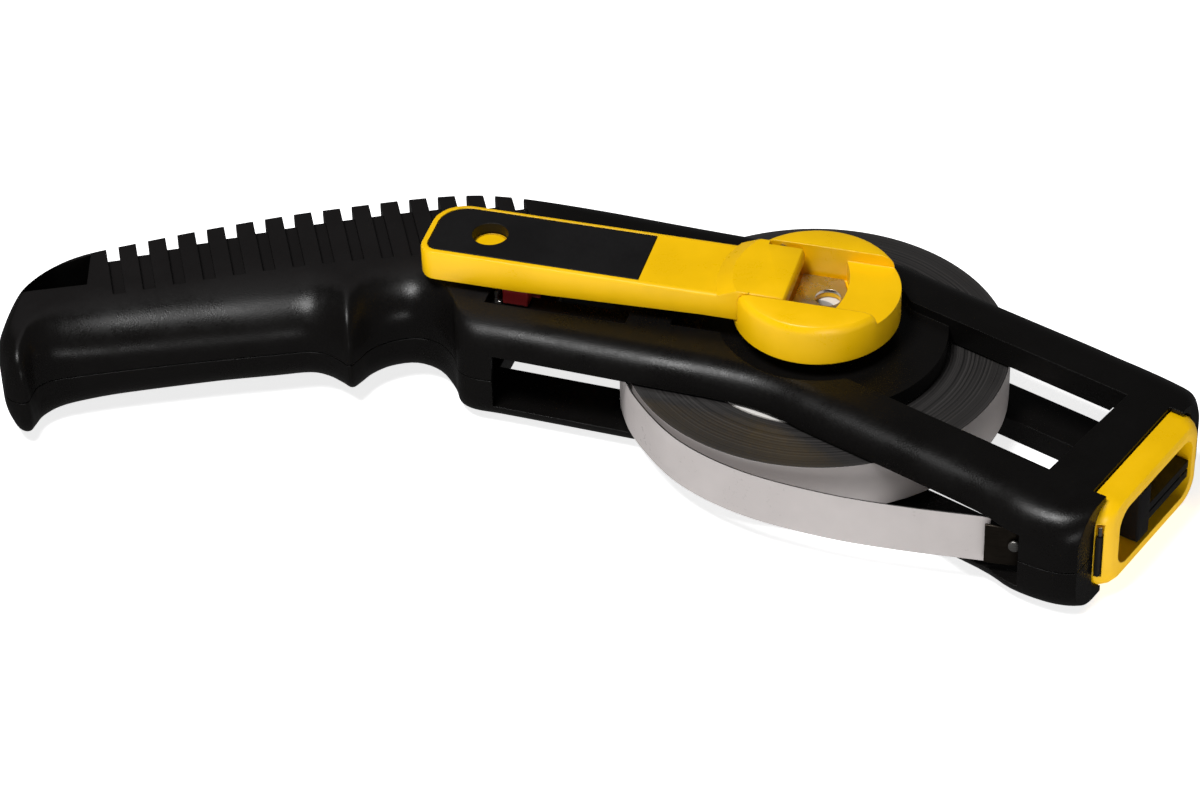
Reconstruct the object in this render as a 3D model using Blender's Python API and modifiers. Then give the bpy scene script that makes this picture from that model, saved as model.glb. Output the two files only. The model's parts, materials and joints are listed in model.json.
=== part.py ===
"""Open-frame surveyor's tape reel: pistol grip, coil of steel tape, fold-away crank.

The reel lies on its side. X runs from the grip to the nose, Z is up, and the origin is on the
reel's axis in the plane that the frame rests on. Numbers in the tables below are millimetres,
and heights in them are measured from the tape's middle plane; MM and MID turn both into metres.
"""

import math

import bmesh
import bpy
from mathutils import Matrix, Vector

MM = 0.001

# ---------------------------------------------------------------- driving dimensions, mm
HALF_THICKNESS = 14.0  # middle plane to the frame's outer faces
MID = HALF_THICKNESS
GAP = 0.3  # clearance between touching pieces
SHELL_WALL = 2.8
BAY_HEIGHTS = (-8.0, 7.3)  # the space between the plates, for the coil
FLOOR_HEIGHT = 11.5  # sunken floor round the hub disc

TAPE_WIDTH = 13.0
TAPE_THICKNESS = 0.35
COIL_RADIUS = 46.0
COIL_BORE = 30.7
DRUM_RADIUS = 30.3
NECK_RADIUS = 8.0
AXLE_RADIUS = 3.0

DISC_RADIUS = 19.8
DISC_LOW = 15.3
DISC_TOP = 26.5
CHANNEL = (-10.7, 11.6)  # its two walls, across the crank's direction
CHANNEL_FLOOR = 17.4
SHELF_HEIGHT = 23.4
WELL_END = 7.2
HOLE_PLACE = (2.0, 3.0)  # the way to the hub screw, a little off the axis

CRANK_ANGLE = -17.0  # degrees, direction of the stowed crank from its end to the hub
CRANK_HALF = 10.3
CROWN_LOW = (-10.3, -9.0)  # the raised block's side and foot, from the crank's pin
CROWN_HIGH = (11.2, 9.0)
CRANK_TOP = 24.6
CRANK_END = -95.5
KNOB_REACH = -80.2
PIN_REACH = -11.0
PIN_HEIGHT = 24.2
PIN_RADIUS = 1.1

NOSE_ANGLE = -39.0
MOUTH_ANGLE = -36.0
MOUTH_BACK = 85.4
MOUTH_FRONT = 92.2
SHELL_FRONT = 88.8

TROUGH = (-78.2, -43.4)  # along the crank's direction
TROUGH_FLOOR = 10.5

RIB_COUNT = 15
RIB_PITCH = 7.06
RIB_DIRECTION = (-0.165, 0.9863)  # across the grip, towards its spine
GROOVE_WIDTH = 3.0
FIRST_GROOVE = -169.5  # middle of the groove nearest to the butt

# Stations of the frame's outline, from the nose to the butt: a point of the near side, the
# point of the far side across from it, half the thickness there, and how far in the roundings
# of the near and the far corner reach.
STATIONS = (
    ((58.2, -74.0), (86.6, -32.0), 14.0, 8.0, 8.8),
    ((55.6, -77.0), (86.2, -27.0), 14.0, 8.0, 8.8),
    ((50.8, -77.7), (82.2, -22.6), 14.0, 8.5, 8.8),
    ((45.4, -75.8), (76.2, -17.4), 14.0, 8.5, 8.8),
    ((38.6, -71.2), (70.5, -12.8), 14.0, 8.5, 8.8),
    ((32.0, -64.0), (64.0, -7.4), 14.0, 8.5, 8.8),
    ((12.6, -47.9), (46.0, 7.0), 14.0, 8.5, 8.8),
    ((-4.0, -34.6), (31.5, 18.7), 14.0, 8.5, 8.8),
    ((-13.6, -26.6), (21.6, 26.4), 14.0, 8.5, 8.8),
    ((-24.0, -21.3), (5.0, 32.3), 14.0, 8.5, 8.8),
    ((-44.1, -14.1), (-26.0, 43.3), 14.0, 8.5, 8.8),
    ((-64.0, -7.0), (-48.0, 50.4), 14.0, 8.5, 7.4),
    ((-76.1, -2.7), (-66.0, 53.9), 14.0, 8.5, 4.0),
    ((-82.3, -0.6), (-76.5, 55.6), 14.0, 8.5, 3.0),
    ((-85.3, 2.4), (-83.0, 56.1), 14.0, 8.5, 3.0),
    ((-86.4, 7.4), (-88.0, 56.0), 14.0, 8.8, 3.0),
    ((-89.8, 12.9), (-93.0, 55.6), 14.0, 12.0, 3.0),
    ((-95.5, 15.5), (-98.0, 55.0), 14.0, 14.0, 3.0),
    ((-101.9, 14.3), (-103.5, 54.2), 14.0, 15.0, 3.0),
    ((-106.6, 11.4), (-107.8, 53.5), 14.0, 15.0, 3.0),
    ((-109.2, 7.8), (-110.4, 53.1), 14.0, 16.0, 3.0),
    ((-111.3, 5.4), (-112.6, 52.7), 14.0, 17.0, 3.0),
    ((-113.6, 7.4), (-115.0, 52.3), 14.0, 17.0, 3.0),
    ((-117.0, 10.2), (-118.4, 51.7), 14.0, 17.0, 3.0),
    ((-121.5, 11.4), (-123.0, 50.9), 14.0, 18.0, 3.0),
    ((-130.0, 10.6), (-131.0, 49.2), 14.0, 18.0, 3.0),
    ((-147.4, 8.8), (-147.6, 45.1), 14.0, 18.0, 3.0),
    ((-166.4, 6.3), (-163.0, 40.7), 14.0, 17.0, 3.0),
    ((-176.0, 4.8), (-175.8, 36.9), 14.0, 15.0, 3.4),
    ((-181.8, 3.6), (-183.4, 32.8), 14.0, 12.5, 4.5),
    ((-185.4, 1.4), (-189.0, 27.4), 14.0, 10.0, 6.0),
    ((-186.6, -1.4), (-192.0, 22.4), 13.6, 8.5, 7.5),
    ((-187.4, -4.4), (-194.4, 13.2), 12.6, 7.0, 7.5),
    ((-189.2, -5.0), (-194.9, 7.0), 10.6, 5.2, 5.2),
    ((-191.4, -3.8), (-194.2, 2.4), 6.5, 2.6, 2.6),
    ((-192.8, -2.4), (-193.6, 0.2), 3.0, 1.0, 1.0),
)
CAVITY_STATIONS = (17, 27)  # the hollow of the grip runs between these two stations
CAVITY_FAR_WALL = 6.2  # thicker, because the rib grooves bite into it

# The route of the tape's outer turn, from under the frame round the coil to the nose.
LEAD_ROUTE = (
    (-46.6, -5.6),
    (-43.5, -17.6),
    (-34.4, -33.6),
    (-20.6, -45.6),
    (-2.6, -54.4),
    (15.2, -60.1),
    (35.2, -64.9),
)
LEADER_ROUTE = (
    (33.6, -65.2),
    (39.6, -66.7),
    (46.0, -66.8),
    (53.0, -63.6),
    (58.6, -59.2),
    (62.9, -56.2),
)
RIVET_PLACE = (40.4, -66.8)

LANYARD_HOLE = ((-174.2, 22.6), (-174.2, 34.6), (-183.0, 30.2), (-187.4, 25.6), (-190.0, 20.4))
SCREW_PLACES = (
    (-160.0, 27.0),
    (-134.0, 31.0),
    (-108.0, 36.0),
    (-82.4, 47.5),
    (-82.3, 9.5),
    (80.1, -28.4),
)
BODY_ANGLE = -19.5
WINDOW = (74.3, -14.3, 18.6)  # its end along the nose's direction, and its two sides
GRIP_WINDOW = (-75.8, -12.6, 16.4)  # the same along the body, in the lower shell only
HUB_PLATE_RADIUS = 31.2
BAY = (-77.4, 77.4)  # its end at the grip, along X, and at the nose, along the nose's direction


# ---------------------------------------------------------------- materials and collections
def material(name, colour, roughness, metallic=0.0):
    made = bpy.data.materials.new(name)
    made.use_nodes = True
    shader = made.node_tree.nodes["Principled BSDF"]
    shader.inputs["Base Color"].default_value = (*colour, 1.0)
    shader.inputs["Roughness"].default_value = roughness
    shader.inputs["Metallic"].default_value = metallic
    return made


for old in list(bpy.data.objects):
    bpy.data.objects.remove(old)

PARTS = bpy.data.collections.new("surveyor_tape_reel")
CUTTERS = bpy.data.collections.new("cutters")
bpy.context.scene.collection.children.link(PARTS)
bpy.context.scene.collection.children.link(CUTTERS)

BLACK = (0.012, 0.012, 0.011)
GREY_BLACK = (0.025, 0.024, 0.024)
YELLOW = (0.80, 0.47, 0.006)
RED = (0.42, 0.02, 0.02)
STEEL = (0.55, 0.54, 0.52)
DARK_STEEL = (0.16, 0.15, 0.14)
TAPE_GREY = (0.70, 0.66, 0.64)


# ---------------------------------------------------------------- shape helpers
def turn(degrees):
    return Matrix.Rotation(math.radians(degrees), 4, "Z")


def in_plan(angle, along, across):
    """The plan point that lies so far along and across a direction through the origin."""
    return tuple((turn(angle) @ Vector((along, across, 0.0))).xy)


def metres(x, y, z):
    return Vector((x, y, z)) * MM


def axis_empty(name, location, angle=0.0):
    """An empty on a joint's axis or a station of the frame; z counts from the middle plane."""
    empty = bpy.data.objects.new(name, None)
    PARTS.objects.link(empty)
    empty.location = metres(location[0], location[1], location[2] + MID)
    empty.rotation_euler = (0.0, 0.0, math.radians(angle))
    return empty


def object_of(name, mesh, look=None, parent=None):
    """A mesh as an object: a named piece if it has a look, or else a cutter."""
    piece = bpy.data.objects.new(name, mesh)
    if look is None:
        CUTTERS.objects.link(piece)
        piece.hide_render = True
        piece.display_type = "WIRE"
    else:
        PARTS.objects.link(piece)
        mesh.materials.append(material(name, *look))
        mesh.shade_smooth()
        mesh.set_sharp_from_angle(angle=math.radians(32))
    piece.parent = parent
    return piece


def mesh_of(shape, name):
    bmesh.ops.recalc_face_normals(shape, faces=shape.faces)
    mesh = bpy.data.meshes.new(name)
    shape.to_mesh(mesh)
    shape.free()
    return mesh


def box(name, low, high, look=None, parent=None, edge=0.0):
    """A box between two corners in mm, its edges rounded by a Bevel modifier."""
    shape = bmesh.new()
    bmesh.ops.create_cube(shape, size=1.0)
    size = [b - a for a, b in zip(low, high)]
    middle = [(a + b) / 2 for a, b in zip(low, high)]
    for corner in shape.verts:
        corner.co = metres(*(m + c * s for m, c, s in zip(middle, corner.co, size)))
    piece = object_of(name, mesh_of(shape, name), look, parent)
    if edge:
        bevel(piece, edge)
    return piece


def rod(name, radius, low, high, look=None, parent=None, place=(0.0, 0.0), sides=32):
    """An upright cylinder."""
    shape = bmesh.new()
    bmesh.ops.create_cone(
        shape,
        cap_ends=True,
        segments=sides,
        radius1=radius * MM,
        radius2=radius * MM,
        depth=(high - low) * MM,
    )
    bmesh.ops.translate(shape, verts=shape.verts, vec=metres(*place, (low + high) / 2))
    return object_of(name, mesh_of(shape, name), look, parent)


def cross_rod(name, radius, half_length, along, height, look=None, parent=None, sides=24):
    """A cylinder that lies across its parent's direction."""
    piece = rod(name, radius, -half_length, half_length, look, parent, sides=sides)
    piece.location = metres(along, 0.0, height)
    piece.rotation_euler = (math.radians(90), 0.0, 0.0)
    return piece


def turned(name, profile, look=None, parent=None, steps=48):
    """A turned shape: its closed profile of (radius, height) runs down the outer side."""
    shape = bmesh.new()
    corners = [shape.verts.new(metres(r, 0.0, z)) for r, z in profile]
    for here, there in zip(corners, corners[1:] + corners[:1]):
        shape.edges.new((here, there))
    mesh = bpy.data.meshes.new(name)
    shape.to_mesh(mesh)
    shape.free()
    piece = object_of(name, mesh, look, parent)
    screw = piece.modifiers.new("turn", "SCREW")
    screw.steps = steps
    screw.render_steps = steps
    screw.use_merge_vertices = True
    screw.merge_threshold = 0.00001
    screw.use_smooth_shade = True
    return piece


def flat_piece(name, outline, low, high, look=None, parent=None):
    """A flat outline in mm, extruded between two heights."""
    curve = bpy.data.curves.new(name, "CURVE")
    curve.dimensions = "2D"
    curve.fill_mode = "BOTH"
    curve.extrude = (high - low) / 2 * MM
    spline = curve.splines.new("POLY")
    spline.points.add(len(outline) - 1)
    for point, (x, y) in zip(spline.points, outline):
        point.co = (x * MM, y * MM, 0.0, 1.0)
    spline.use_cyclic_u = True
    drawn = bpy.data.objects.new(name + "_outline", curve)
    CUTTERS.objects.link(drawn)
    shape = bmesh.new()
    flat = bpy.data.meshes.new_from_object(drawn)
    shape.from_mesh(flat)
    bmesh.ops.remove_doubles(shape, verts=shape.verts, dist=0.000001)
    bmesh.ops.dissolve_limit(
        shape, angle_limit=math.radians(1), verts=shape.verts, edges=shape.edges
    )
    bmesh.ops.translate(shape, verts=shape.verts, vec=metres(0, 0, (low + high) / 2))
    bpy.data.objects.remove(drawn)
    bpy.data.meshes.remove(flat)
    return object_of(name, mesh_of(shape, name), look, parent)


def bevel(piece, width, segments=2, angle=40):
    edges = piece.modifiers.new("edges", "BEVEL")
    edges.width = width * MM
    edges.segments = segments
    edges.limit_method = "ANGLE"
    edges.angle_limit = math.radians(angle)


def boolean(piece, other, operation):
    """The exact solver leaves slits in the shells' curved faces, so they take the other one."""
    step = piece.modifiers.new(other.name, "BOOLEAN")
    step.operation = operation
    step.solver = "MANIFOLD" if piece.name in ("top_shell", "bottom_shell") else "EXACT"
    step.object = other


def cut(piece, *cutters):
    for cutter in cutters:
        boolean(piece, cutter, "DIFFERENCE")


def join(piece, *others):
    for other in others:
        boolean(piece, other, "UNION")


def smooth_route(points, steps):
    """Points on the smooth curve (Catmull-Rom) through a list of points."""
    ends = [points[0], *points, points[-1]]
    route = []
    for a, b, c, d in zip(ends, ends[1:], ends[2:], ends[3:]):
        for step in range(steps):
            t = step / steps
            route.append(
                tuple(
                    q
                    + 0.5 * t * (r - p + t * (2 * p - 5 * q + 4 * r - s + t * (3 * (q - r) + s - p)))
                    for p, q, r, s in zip(a, b, c, d)
                )
            )
    return [*route, points[-1]]


def rounded_rectangle(low, high, radius, steps=5):
    """The outline of a rectangle with round corners."""
    outline = []
    corners = (
        (high[0] - radius, high[1] - radius, 0),
        (low[0] + radius, high[1] - radius, 90),
        (low[0] + radius, low[1] + radius, 180),
        (high[0] - radius, low[1] + radius, 270),
    )
    for x, y, start in corners:
        for step in range(steps + 1):
            angle = math.radians(start + 90 * step / steps)
            outline.append((x + radius * math.cos(angle), y + radius * math.sin(angle)))
    return outline


def standing_plate(name, outline, low, high, look=None, parent=None):
    """A flat outline that stands on edge: its x runs across, its y up, its thickness along."""
    piece = flat_piece(name, outline, low, high, look, parent)
    upright = Matrix(((0, 0, 1, 0), (1, 0, 0, 0), (0, 1, 0, 0), (0, 0, 0, 1)))
    piece.data.transform(upright)
    return piece


def ribbon(name, route, width, thickness, look, parent):
    """A strip of steel on edge, that follows a route in plan; thickness is added outside."""
    middle = smooth_route(route, 4)
    sides = []
    for n, (x, y) in enumerate(middle):
        before = Vector(middle[max(n - 1, 0)])
        after = Vector(middle[min(n + 1, len(middle) - 1)])
        ahead = (after - before).normalized()
        sides.append((x + ahead.y * thickness, y - ahead.x * thickness))
    outline = [*middle, *reversed(sides)]
    return flat_piece(name, outline, -width / 2, width / 2, look, parent)


# ---------------------------------------------------------------- the frame's two shells
def stations():
    """The outline's stations with one more between each two, as flat tuples."""
    flat = [(*near, *far, *sizes) for near, far, *sizes in STATIONS]
    return smooth_route(flat, 2)


def section(near, far, half, reach, far_reach, low, arc_steps=5):
    """A cross-section of half the frame, from the near side's seam over the top to the far side."""
    near, far = Vector(near), Vector(far)
    width = (far - near).length
    across = (far - near) / width
    reach = min(reach, 0.49 * width)
    far_reach = min(far_reach, 0.49 * width)
    near_rise = min(max(half - low - 1.0, 0.3), 8.5 + 0.25 * (reach - 8.5) * 1.6)
    far_rise = min(max(half - low - 1.0, 0.3), far_reach)
    points = [(0.0, low)]
    for step in range(arc_steps + 1):
        angle = math.pi / 2 * step / arc_steps
        points.append(
            (reach * (1 - math.cos(angle)), half - near_rise * (1 - math.sin(angle)))
        )
    for step in range(arc_steps + 1):
        angle = math.pi / 2 * (1 - step / arc_steps)
        points.append(
            (width - far_reach * (1 - math.cos(angle)), half - far_rise * (1 - math.sin(angle)))
        )
    points.append((width, low))
    return [(*(near + across * u), z) for u, z in points]


def loft(name, sections, flip, look=None, parent=None):
    """A closed solid through cross-sections; flip mirrors it below the middle plane."""
    shape = bmesh.new()
    sign = -1.0 if flip else 1.0
    rings = [[shape.verts.new(metres(x, y, sign * z)) for x, y, z in ring] for ring in sections]
    for here, there in zip(rings, rings[1:]):
        for n in range(len(here)):
            m = (n + 1) % len(here)
            shape.faces.new((here[n], here[m], there[m], there[n]))
    shape.faces.new(rings[0])
    shape.faces.new(list(reversed(rings[-1])))
    bmesh.ops.triangulate(shape, faces=[face for face in shape.faces if len(face.verts) == 4])
    return object_of(name, mesh_of(shape, name), look, parent)


def outer_sections():
    return [section(s[0:2], s[2:4], *s[4:7], GAP / 2) for s in stations()]


def cavity_sections():
    """The hollow of the grip, a wall's thickness inside its outer surface."""
    first, last = (2 * n for n in CAVITY_STATIONS)
    inner = []
    for s in stations()[first : last + 1]:
        near, far = Vector(s[0:2]), Vector(s[2:4])
        across = (far - near).normalized()
        near = near + across * SHELL_WALL
        far = far - across * CAVITY_FAR_WALL
        inner.append(
            section(near, far, s[4] - SHELL_WALL, s[5] - SHELL_WALL, 5.8, -0.5)
        )
    return inner


def groove_cutter(name, number, flip):
    """One groove between two ribs: over the top face, round the spine and down to the seam."""
    spine = [Vector(s[2:4]) for s in stations()]
    x = FIRST_GROOVE + RIB_PITCH * number
    place = next(n for n in range(len(spine) - 1) if spine[n + 1].x <= x <= spine[n].x)
    share = (x - spine[place].x) / (spine[place + 1].x - spine[place].x)
    edge = spine[place].lerp(spine[place + 1], share)
    across = Vector(RIB_DIRECTION)
    ahead = Vector((across.y, -across.x))
    reach = 20.0 + 7.5 * number / RIB_COUNT
    half = HALF_THICKNESS
    outline = (
        (-reach, half + 2),
        (-reach, half - 1.7),
        (-6.5, half - 1.9),
        (-4.0, half - 2.4),
        (-2.8, half - 4.2),
        (-2.6, half - 7.0),
        (-2.6, -1.0),
        (4.0, -1.0),
        (4.0, half + 2),
    )
    shape = bmesh.new()
    sign = -1.0 if flip else 1.0
    sides = []
    for offset in (-GROOVE_WIDTH / 2, GROOVE_WIDTH / 2):
        ring = []
        for u, z in outline:
            plan = edge + across * u + ahead * offset
            ring.append(shape.verts.new(metres(plan.x, plan.y, sign * z)))
        sides.append(ring)
    for n in range(len(outline)):
        m = (n + 1) % len(outline)
        shape.faces.new((sides[0][n], sides[0][m], sides[1][m], sides[1][n]))
    shape.faces.new(sides[0])
    shape.faces.new(sides[1])
    return object_of(name, mesh_of(shape, name), parent=FRAME)


def nose_box(name, along, across, low, high, angle=NOSE_ANGLE):
    """A box cutter that lies along the nose."""
    cutter = box(name, (along[0], across[0], low), (along[1], across[1], high), parent=FRAME)
    cutter.rotation_euler = (0.0, 0.0, math.radians(angle))
    return cutter


def crank_box(name, along, half_width, low, high):
    return nose_box(name, along, (-half_width, half_width), low, high, CRANK_ANGLE)


def window_outline(angle, end, low, high):
    """A window between two rails; its inner end is an arc round the hub."""
    radius = HUB_PLATE_RADIUS
    side = 1 if end > 0 else -1
    outline = [in_plan(angle, end, low), in_plan(angle, end, high)]
    first = math.asin(high / radius)
    last = math.asin(low / radius)
    for step in range(13):
        turned_by = first + (last - first) * step / 12
        along = side * radius * math.cos(turned_by)
        outline.append(in_plan(angle, along, radius * math.sin(turned_by)))
    return outline


def coil_bay(name):
    """The space between the plates, from the guard to the nose, open on both sides."""
    outline = (
        (BAY[0], -90.0),
        in_plan(NOSE_ANGLE, BAY[1], -80.0),
        in_plan(NOSE_ANGLE, BAY[1], 80.0),
        (BAY[0], 90.0),
    )
    return flat_piece(name, outline, *BAY_HEIGHTS, parent=FRAME)


def screw_boss(name, place, low, high):
    return rod(name, 3.6, low, high, parent=FRAME, place=place, sides=20)


def shell(name, flip):
    """One half of the frame, before the cuts that only that half has."""
    look = (BLACK, 0.42)
    piece = loft(name, outer_sections(), flip, look, FRAME)
    side = "low" if flip else "up"
    sign = -1.0 if flip else 1.0
    cut(piece, loft(f"grip_hollow_{side}", cavity_sections(), flip, parent=FRAME))
    for n, place in enumerate(SCREW_PLACES[:3]):
        low, high = sorted((sign * 0.4, sign * 12.2))
        join(piece, screw_boss(f"boss_{side}_{n + 1}", place, low, high))
    cut(piece, coil_bay(f"bay_{side}"))
    cut(piece, nose_box(f"nose_inlet_{side}", (70, 83), (-26.6, 23.0), -8.6, 8.6))
    cut(piece, nose_box(f"nose_hollow_{side}", (80, 98), (-23.1, 18.5), -8.6, 8.6, MOUTH_ANGLE))
    seat = rounded_rectangle((-24.1, -12.7), (21.2, 13.2), 6.3)
    cut(piece, standing_plate(f"mouth_seat_{side}", seat, MOUTH_BACK, 99, parent=MOUTH))
    cut(piece, nose_box(f"seat_front_{side}", (MOUTH_BACK, 99), (-19.5, 16.0), -20, 20, MOUTH_ANGLE))
    cut(piece, nose_box(f"nose_end_{side}", (SHELL_FRONT, 110), (-60, 60), -20, 20, MOUTH_ANGLE))
    cut(piece, flat_piece(f"lanyard_{side}", LANYARD_HOLE, -20, 20, parent=FRAME))
    cut(piece, crank_box(f"lock_way_{side}", (-90, -66), 8.8, -6.6, 6.4))
    for n in range(RIB_COUNT):
        cut(piece, groove_cutter(f"groove_{side}_{n + 1}", n, flip))
    return piece


def top_shell():
    piece = shell("top_shell", flip=False)
    cut(piece, flat_piece("window_up", window_outline(NOSE_ANGLE, *WINDOW), -1, 20, parent=FRAME))
    cut(piece, rod("hub_recess", 23.4, FLOOR_HEIGHT, 20, parent=FRAME, sides=48))
    cut(piece, nose_box("nose_recess", (0, 40), (-14.3, 18.6), FLOOR_HEIGHT, 20))
    cut(piece, nose_box("grip_recess", (-33, 0), (-10.6, 10.6), FLOOR_HEIGHT, 20, CRANK_ANGLE))
    cut(piece, rod("hub_hole", 10.2, 0, 20, parent=FRAME, sides=40))
    cut(piece, nose_box("trough", TROUGH, (-12.8, 10.4), TROUGH_FLOOR, 20, CRANK_ANGLE))
    cut(piece, crank_box("lock_slot", (-75.8, -49.0), 3.8, 0, 20))
    for n, place in enumerate(SCREW_PLACES):
        cut(piece, rod(f"pilot_{n + 1}", 1.6, -1, 8.4, parent=FRAME, place=place, sides=12))
    return piece


def bottom_shell():
    piece = shell("bottom_shell", flip=True)
    nose_window = window_outline(NOSE_ANGLE, *WINDOW)
    grip_window = window_outline(BODY_ANGLE, *GRIP_WINDOW)
    cut(piece, flat_piece("window_low", nose_window, -20, 1, parent=FRAME))
    cut(piece, flat_piece("grip_window", grip_window, -20, 1, parent=FRAME))
    cut(piece, nose_box("rail_relief", (28.0, BAY[1]), (29.5, 45.0), -10.5, 0))
    cut(piece, rod("hub_pocket", 10.2, -12.9, 0, parent=FRAME, sides=40))
    for n, place in enumerate(SCREW_PLACES):
        cut(piece, rod(f"through_{n + 1}", 1.7, -20, 1, parent=FRAME, place=place, sides=12))
        cut(piece, rod(f"counterbore_{n + 1}", 3.1, -20, -11.4, parent=FRAME, place=place, sides=16))
    return piece


# ---------------------------------------------------------------- pieces on the frame
def case_screws():
    """Pan-head screws that close the shells from below."""
    profile = (
        (0.0, 8.0),
        (1.3, 8.0),
        (1.3, -11.7),
        (2.7, -11.7),
        (2.7, -12.3),
        (1.9, -13.1),
        (0.0, -13.1),
    )
    for n, place in enumerate(SCREW_PLACES):
        screw = turned(f"case_screw_{n + 1}", profile, (DARK_STEEL, 0.35, 1.0), FRAME, steps=12)
        screw.location = metres(*place, 0.0)


def mouth_ring(along, inset, steps=6):
    """The mouthpiece's outline at one depth, as points along and across its direction."""
    low, high = (-23.8 + inset, -12.4 + inset), (20.9 - inset, 12.9 - 0.6 * inset)
    outline = rounded_rectangle(low, high, 6.5 - inset / 2, steps)
    return [(along, across, height) for across, height in outline]


def mouthpiece():
    """The yellow bezel at the tape's exit, with a spigot that goes into the nose."""
    look = (YELLOW, 0.38)
    rim = ((MOUTH_BACK + GAP, 0.0), (89.0, 0.2), (90.6, 1.0), (91.7, 2.2), (MOUTH_FRONT, 3.6))
    rings = [mouth_ring(along, inset) for along, inset in rim]
    piece = loft("mouthpiece", rings, False, look, MOUTH)
    spigot = rounded_rectangle((-22.8, -8.2), (18.2, 8.2), 3.0, steps=3)
    join(piece, standing_plate("spigot", spigot, 82.0, 90.0, parent=MOUTH))
    opening = rounded_rectangle((-18.4, -7.0), (15.8, 9.2), 4.6)
    hollow = rounded_rectangle((-21.2, -6.6), (16.2, 6.6), 2.4, steps=3)
    cut(piece, standing_plate("mouth_opening", opening, 82.0, 99.0, parent=MOUTH))
    cut(piece, standing_plate("spigot_hollow", hollow, 70.0, 88.5, parent=MOUTH))
    cut(piece, box("wiper_slot", (88.7, -32.0, -6.6), (90.5, -21.0, 5.4), parent=MOUTH))
    cut(piece, box("pin_notch", (88.7, -32.0, 5.2), (90.5, -22.0, 8.4), parent=MOUTH))
    return piece


def mouth_trim():
    """The wiper that cleans the tape as it goes in, and the pin that holds it."""
    box("tape_wiper", (89.0, -23.9, -6.3), (90.2, -21.4, 5.1), (GREY_BLACK, 0.9), MOUTH, 0.3)
    rod("wiper_pin", 0.6, 5.5, 8.0, (STEEL, 0.25, 1.0), MOUTH, (89.6, -23.0), sides=16)


def tape_hook():
    """The black end piece of the tape: an upright plate and a ribbed bar across."""
    look = (BLACK, 0.5)
    piece = box("tape_hook", (83.8, -8.8, -6.2), (92.0, -3.4, 8.2), look, MOUTH, 0.6)
    join(piece, box("hook_bar", (85.0, -4.2, -3.2), (91.6, 15.2, 1.6), parent=MOUTH))
    low, high = (90.6, -3.0, -1.1), (93.0, 16.2, -0.5)
    cut(piece, box("hook_groove", low, high, parent=MOUTH))
    return piece


def tape_and_leader():
    """The loose outer turn, and the steel leader riveted to its end."""
    ribbon("tape_lead", LEAD_ROUTE, TAPE_WIDTH, TAPE_THICKNESS, (TAPE_GREY, 0.35, 0.2), FRAME)
    leader = ribbon("leader_clip", LEADER_ROUTE, 11.0, 0.6, (DARK_STEEL, 0.4, 0.9), FRAME)
    leader.location = metres(0.3, -0.7, 0.0)
    rivet = rod("leader_rivet", 1.5, 0.0, 0.9, (STEEL, 0.3, 1.0), FRAME, sides=16)
    rivet.location = metres(RIVET_PLACE[0], RIVET_PLACE[1] - 1.75, 1.0)
    rivet.rotation_euler = (math.radians(90), 0.0, math.radians(-8))
    bevel(rivet, 0.3)


def bearings():
    """The fixed axle, and the bushes that the drum's necks turn in."""
    axle = (
        (0.0, 9.2),
        (AXLE_RADIUS, 9.2),
        (AXLE_RADIUS, -11.4),
        (7.0, -11.4),
        (7.0, -12.6),
        (0.0, -12.6),
    )
    turned("axle", axle, (STEEL, 0.3, 1.0), FRAME, steps=32)
    upper = (
        (NECK_RADIUS + GAP, 12.9),
        (12.2, 12.9),
        (12.2, 11.8),
        (9.9, 11.8),
        (9.9, 7.6),
        (NECK_RADIUS + GAP, 7.6),
    )
    turned("upper_bush", upper, (GREY_BLACK, 0.5), FRAME, steps=40)
    lower = ((8.3, -7.6), (9.9, -7.6), (9.9, -11.0), (8.3, -11.0))
    turned("lower_bush", lower, (GREY_BLACK, 0.5), FRAME, steps=40)


# ---------------------------------------------------------------- the reel
def drum():
    """The spool that the tape is wound on: rim, web, and a neck at each end."""
    profile = (
        (4.8, 16.0),
        (NECK_RADIUS, 16.0),
        (NECK_RADIUS, 2.0),
        (27.0, 2.0),
        (27.0, 6.6),
        (DRUM_RADIUS, 6.6),
        (DRUM_RADIUS, -6.6),
        (27.0, -6.6),
        (27.0, -2.0),
        (NECK_RADIUS, -2.0),
        (NECK_RADIUS, -10.8),
        (3.3, -10.8),
        (3.3, 9.0),
        (4.8, 9.0),
    )
    return turned("drum", profile, (GREY_BLACK, 0.5), REEL, steps=48)


def tape_coil():
    half = TAPE_WIDTH / 2
    profile = (
        (COIL_BORE, half),
        (COIL_RADIUS, half),
        (COIL_RADIUS, -half),
        (COIL_BORE, -half),
    )
    return turned("tape_coil", profile, (TAPE_GREY, 0.45, 0.3), REEL, steps=72)


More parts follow.
